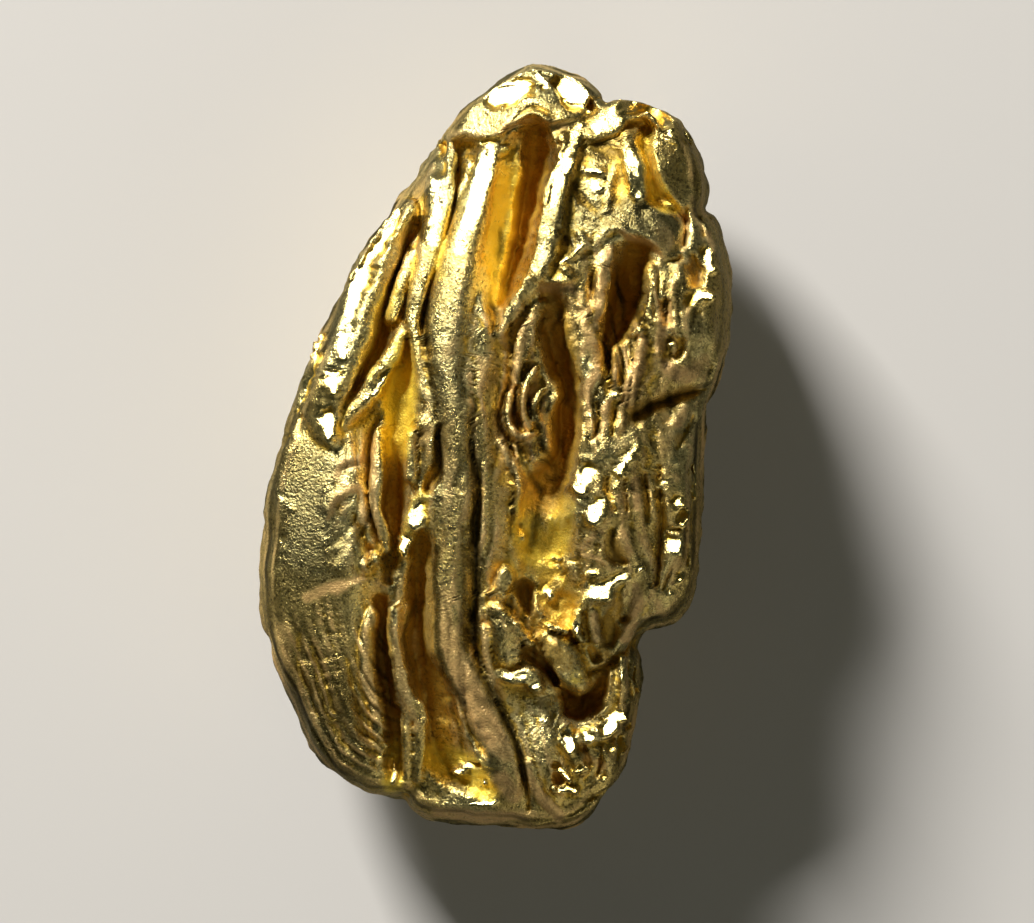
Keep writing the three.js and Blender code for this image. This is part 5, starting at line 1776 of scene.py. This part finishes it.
@dataclass(frozen=True)
class WornGold:
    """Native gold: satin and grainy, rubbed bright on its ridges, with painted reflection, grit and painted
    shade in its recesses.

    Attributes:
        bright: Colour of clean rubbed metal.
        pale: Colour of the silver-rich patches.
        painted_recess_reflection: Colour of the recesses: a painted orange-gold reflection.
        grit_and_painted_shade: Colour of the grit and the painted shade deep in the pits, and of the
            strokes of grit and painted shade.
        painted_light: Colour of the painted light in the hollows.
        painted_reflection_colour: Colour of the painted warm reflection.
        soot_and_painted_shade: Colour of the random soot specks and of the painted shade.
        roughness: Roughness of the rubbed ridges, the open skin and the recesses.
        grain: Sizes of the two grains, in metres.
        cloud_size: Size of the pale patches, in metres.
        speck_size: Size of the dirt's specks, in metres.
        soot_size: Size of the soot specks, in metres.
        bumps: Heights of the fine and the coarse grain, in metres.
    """

    bright: Colour = (0.86, 0.65, 0.23, 1.0)
    pale: Colour = (0.78, 0.67, 0.31, 1.0)
    painted_recess_reflection: Colour = (0.84, 0.56, 0.09, 1.0)
    grit_and_painted_shade: Colour = (0.58, 0.34, 0.045, 1.0)
    painted_light: Colour = (1.0, 0.72, 0.075, 1.0)
    painted_reflection_colour: Colour = (0.72, 0.45, 0.18, 1.0)
    soot_and_painted_shade: Colour = (0.09, 0.06, 0.012, 1.0)
    roughness: tuple[float, float, float] = (0.27, 0.31, 0.45)
    grain: tuple[float, float] = (0.00006, 0.0002)
    cloud_size: float = 0.0022
    speck_size: float = 0.00022
    soot_size: float = 0.00009
    bumps: tuple[float, float] = (0.000034, 0.00003)

    def make(self) -> bpy.types.Material:
        """Wire the finish.

        Returns:
            The material.
        """
        nodes = Nodes("worn_gold")
        where = nodes.add("TexCoord").outputs["Object"]
        recess, rub, fresh = (self.layer(nodes, name) for name in ("recess", "rub", "fresh"))
        worn = nodes.math("SUBTRACT", 1.0, fresh)
        specks = nodes.noise(where, self.speck_size, 4.0, 0.65)
        clouds = nodes.noise(where, self.cloud_size, 4.0)
        colour = nodes.blend(nodes.ramp(clouds, 0.4, 0.62), self.bright, self.pale)
        # Painted reflection: the colour turns orange-gold in the recesses, more so where they are deeper.
        colour = nodes.blend(nodes.ramp(recess, 0.02, 0.4), colour, self.painted_recess_reflection)
        grit = nodes.ramp(specks, 0.3, 0.65, 0.45, 0.9)
        # Grit and painted shade: the deeper recesses darken in specks.
        colour = nodes.blend(nodes.math("MULTIPLY", nodes.ramp(recess, 0.3, 0.95), grit), colour, self.grit_and_painted_shade)
        # Random soot specks, in the same dark colour as the painted shade.
        soot = nodes.ramp(nodes.noise(where, self.soot_size, 3.0, 0.6), 0.5, 0.34, 0.0, 0.75)
        colour = nodes.blend(nodes.math("MULTIPLY", soot, worn), colour, self.soot_and_painted_shade)
        patchy = nodes.ramp(specks, 0.3, 0.6, 0.75, 1.0)
        dull = nodes.ramp(recess, 0.15, 0.8, 0.0, 0.45)
        # Strokes of tint: painted warm reflection, painted light, grit with painted shade, and painted
        # shade.
        for name, tint, dulling in (
            ("tan", self.painted_reflection_colour, 0.7),
            ("painted_light", self.painted_light, 0.6),
            ("brown", self.grit_and_painted_shade, 0.6),
            ("soot_and_painted_shade", self.soot_and_painted_shade, 0.0),
        ):
            share = nodes.math("MULTIPLY", self.layer(nodes, name), patchy)
            share = nodes.math("MULTIPLY", share, worn)
            colour = nodes.blend(share, colour, tint)
            if dulling:
                dull = nodes.math("MAXIMUM", dull, nodes.math("MULTIPLY", share, dulling))
        shader = nodes.add(
            "BsdfPrincipled",
            Base_Color=colour,
            Metallic=nodes.math("SUBTRACT", 1.0, dull),
            Roughness=self.rough(nodes, rub, recess, specks, fresh),
            Normal=self.grained(nodes, where, fresh),
        )
        nodes.add("OutputMaterial", Surface=shader.outputs[0])
        return nodes.material

    @staticmethod
    def layer(nodes: Nodes, name: str) -> Socket:
        """Read one of the skin's named values."""
        return nodes.add("Attribute", {"attribute_name": name}).outputs["Fac"]

    def rough(
        self, nodes: Nodes, rub: Socket, recess: Socket, specks: Socket, fresh: Socket
    ) -> Socket:
        """Wire the roughness: smoother where it is rubbed or fresh, rougher in the recesses.

        Args:
            nodes: The material's nodes.
            rub: How rubbed each point is.
            recess: How deep each point lies.
            specks: Speckle noise.
            fresh: How fresh and bare the metal is.

        Returns:
            The roughness socket.
        """
        rubbed, open_skin, sunk = self.roughness
        rough = nodes.ramp(rub, 0.0, 0.6, open_skin, rubbed)
        rough = nodes.math("ADD", rough, nodes.ramp(recess, 0.05, 0.6, 0.0, sunk - open_skin))
        rough = nodes.math("ADD", rough, nodes.ramp(specks, 0.3, 0.7, -0.05, 0.07))
        return nodes.math("ADD", rough, nodes.math("MULTIPLY", fresh, -0.05))

    def grained(self, nodes: Nodes, where: Socket, fresh: Socket) -> Socket:
        """Wire the grain: soft lumps, and a fine frost that is weaker on fresh faces.

        Args:
            nodes: The material's nodes.
            where: The coordinates' socket.
            fresh: How fresh and bare the metal is.

        Returns:
            The bumped direction's socket.
        """
        fine, coarse = (nodes.noise(where, size, 3.0, 0.6) for size in self.grain)
        kept = nodes.math("SUBTRACT", 1.0, nodes.math("MULTIPLY", fresh, 0.55))
        fine = nodes.math("MULTIPLY", fine, kept)
        lumps = nodes.add("Bump", Strength=0.1, Distance=self.bumps[1], Height=coarse).outputs["Normal"]
        frost = nodes.add("Bump", Strength=1.0, Distance=self.bumps[0], Height=fine, Normal=lumps)
        return frost.outputs["Normal"]


@dataclass(frozen=True)
class PaleGround:
    """The matt pale floor's finish, which metal mirrors more darkly than the eye sees it.

    Attributes:
        colour: Its colour.
        mirrored: Its colour in reflections.
    """

    colour: Colour = (0.60, 0.58, 0.61, 1.0)
    mirrored: Colour = (0.08, 0.075, 0.06, 1.0)

    def make(self) -> bpy.types.Material:
        """Wire the finish.

        Returns:
            The material.
        """
        nodes = Nodes("pale_ground")
        mirrored = nodes.add("LightPath").outputs["Is Glossy Ray"]
        colour = nodes.blend(mirrored, self.colour, self.mirrored)
        shader = nodes.add("BsdfPrincipled", Base_Color=colour, Roughness=0.9)
        nodes.add("OutputMaterial", Surface=shader.outputs[0])
        return nodes.material


@dataclass
class Nugget:
    """The nugget itself, one piece.

    Attributes:
        skin: Its skin.
        finish: Its finish.
    """

    skin: NuggetSkin = field(default_factory=NuggetSkin)
    finish: WornGold = field(default_factory=WornGold)

    def build(self) -> bpy.types.Object:
        """Build and dress the nugget, and put it in the place of its plain solid.

        Returns:
            The nugget's object.
        """
        points, loops, totals, values = self.skin.mesh_parts()
        piece = put_mesh("gold_nugget", points, loops, totals)
        for name, numbers in values.items():
            layer = piece.data.attributes.new(name, "FLOAT", "POINT")
            layer.data.foreach_set("value", numbers.astype(np.float32))
        piece.data.materials.append(self.finish.make())
        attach(piece, "root")
        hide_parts("nugget")
        return piece


@dataclass
class Studio:
    """The floor, the soft lights and the camera.

    Attributes:
        floor_size: Side of the square floor, in metres.
        floor_gap: How far the floor lies under the nugget's flats, in metres.
        surroundings: Colour of the dim light from all sides.
        dimness: Strength of that light.
        view_width: Width of the view at the height of the nugget's outline, in metres.
        view_centre: Middle of the view, in metres.
        lens: Focal length, in millimetres on a 36 mm sensor.
    """

    floor_size: float = 1.2
    floor_gap: float = 0.00002
    surroundings: Colour = (0.87, 1.0, 0.74, 1.0)
    dimness: float = 0.035
    view_width: float = 0.02585
    view_centre: tuple[float, float, float] = (0.00053, -0.00034, 0.0031)
    lens: float = 300.0

    def floor(self) -> bpy.types.Object:
        """Lay the floor.

        Returns:
            The floor's object.
        """
        half = self.floor_size / 2
        corners = np.array([[-half, -half, 0], [half, -half, 0], [half, half, 0], [-half, half, 0]])
        corners[:, 2] = -self.floor_gap
        ground = put_mesh("floor", corners, np.arange(4), np.array([4]))
        ground.data.materials.append(PaleGround().make())
        return ground

    def softbox(
        self,
        name: str,
        place: tuple[float, float, float],
        size: float,
        power: float,
        colour: tuple[float, float, float],
    ) -> None:
        """Hang a square softbox that faces the nugget.

        Args:
            name: The light's name.
            place: Its place, in metres.
            size: Side of the square, in metres.
            power: Its power, in watts.
            colour: Its colour.
        """
        data = bpy.data.lights.new(name, "AREA")
        data.size = size
        data.energy = power
        data.color = colour
        lamp = bpy.data.objects.new(name, data)
        lamp.location = place
        lamp.rotation_euler = (-lamp.location).to_track_quat("-Z", "Y").to_euler()
        bpy.context.scene.collection.objects.link(lamp)

    def lights(self) -> None:
        """Hang the lights and dim the surroundings."""
        world = bpy.data.worlds.new("surroundings")
        world.use_nodes = True
        backdrop = world.node_tree.nodes["Background"]
        backdrop.inputs["Color"].default_value = self.surroundings
        backdrop.inputs["Strength"].default_value = self.dimness
        bpy.context.scene.world = world
        bpy.context.scene.view_settings.view_transform = "Standard"
        self.softbox("key", (-0.17, 0.275, 0.19), 0.1, 2.9, (1.0, 0.98, 0.86))
        self.softbox("fill", (0.2, -0.3, 0.16), 0.3, 0.28, (1.0, 0.95, 0.74))

    def camera(self) -> bpy.types.Object:
        """Hang the camera straight above the nugget, with the nugget's length upright in view.

        Returns:
            The camera's object.
        """
        data = bpy.data.cameras.new("camera")
        data.lens = self.lens
        data.sensor_width = 36.0
        data.clip_start = 0.005
        data.clip_end = 10.0
        thing = bpy.data.objects.new("camera", data)
        x, y, z = self.view_centre
        thing.location = (x, y, z + self.view_width * self.lens / 36.0)
        bpy.context.scene.collection.objects.link(thing)
        bpy.context.scene.camera = thing
        return thing


def main() -> None:
    """Build the nugget and its stage, and log the nugget's points and faces."""
    logging.basicConfig(level=logging.INFO, format="%(name)s: %(message)s")
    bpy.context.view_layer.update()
    studio = Studio()
    studio.camera()
    studio.lights()
    studio.floor()
    LOG.info("stage is set")
    piece = Nugget().build()
    LOG.info("%s: %d points, %d faces", piece.name, len(piece.data.vertices), len(piece.data.polygons))


if __name__ == "__main__":
    main()
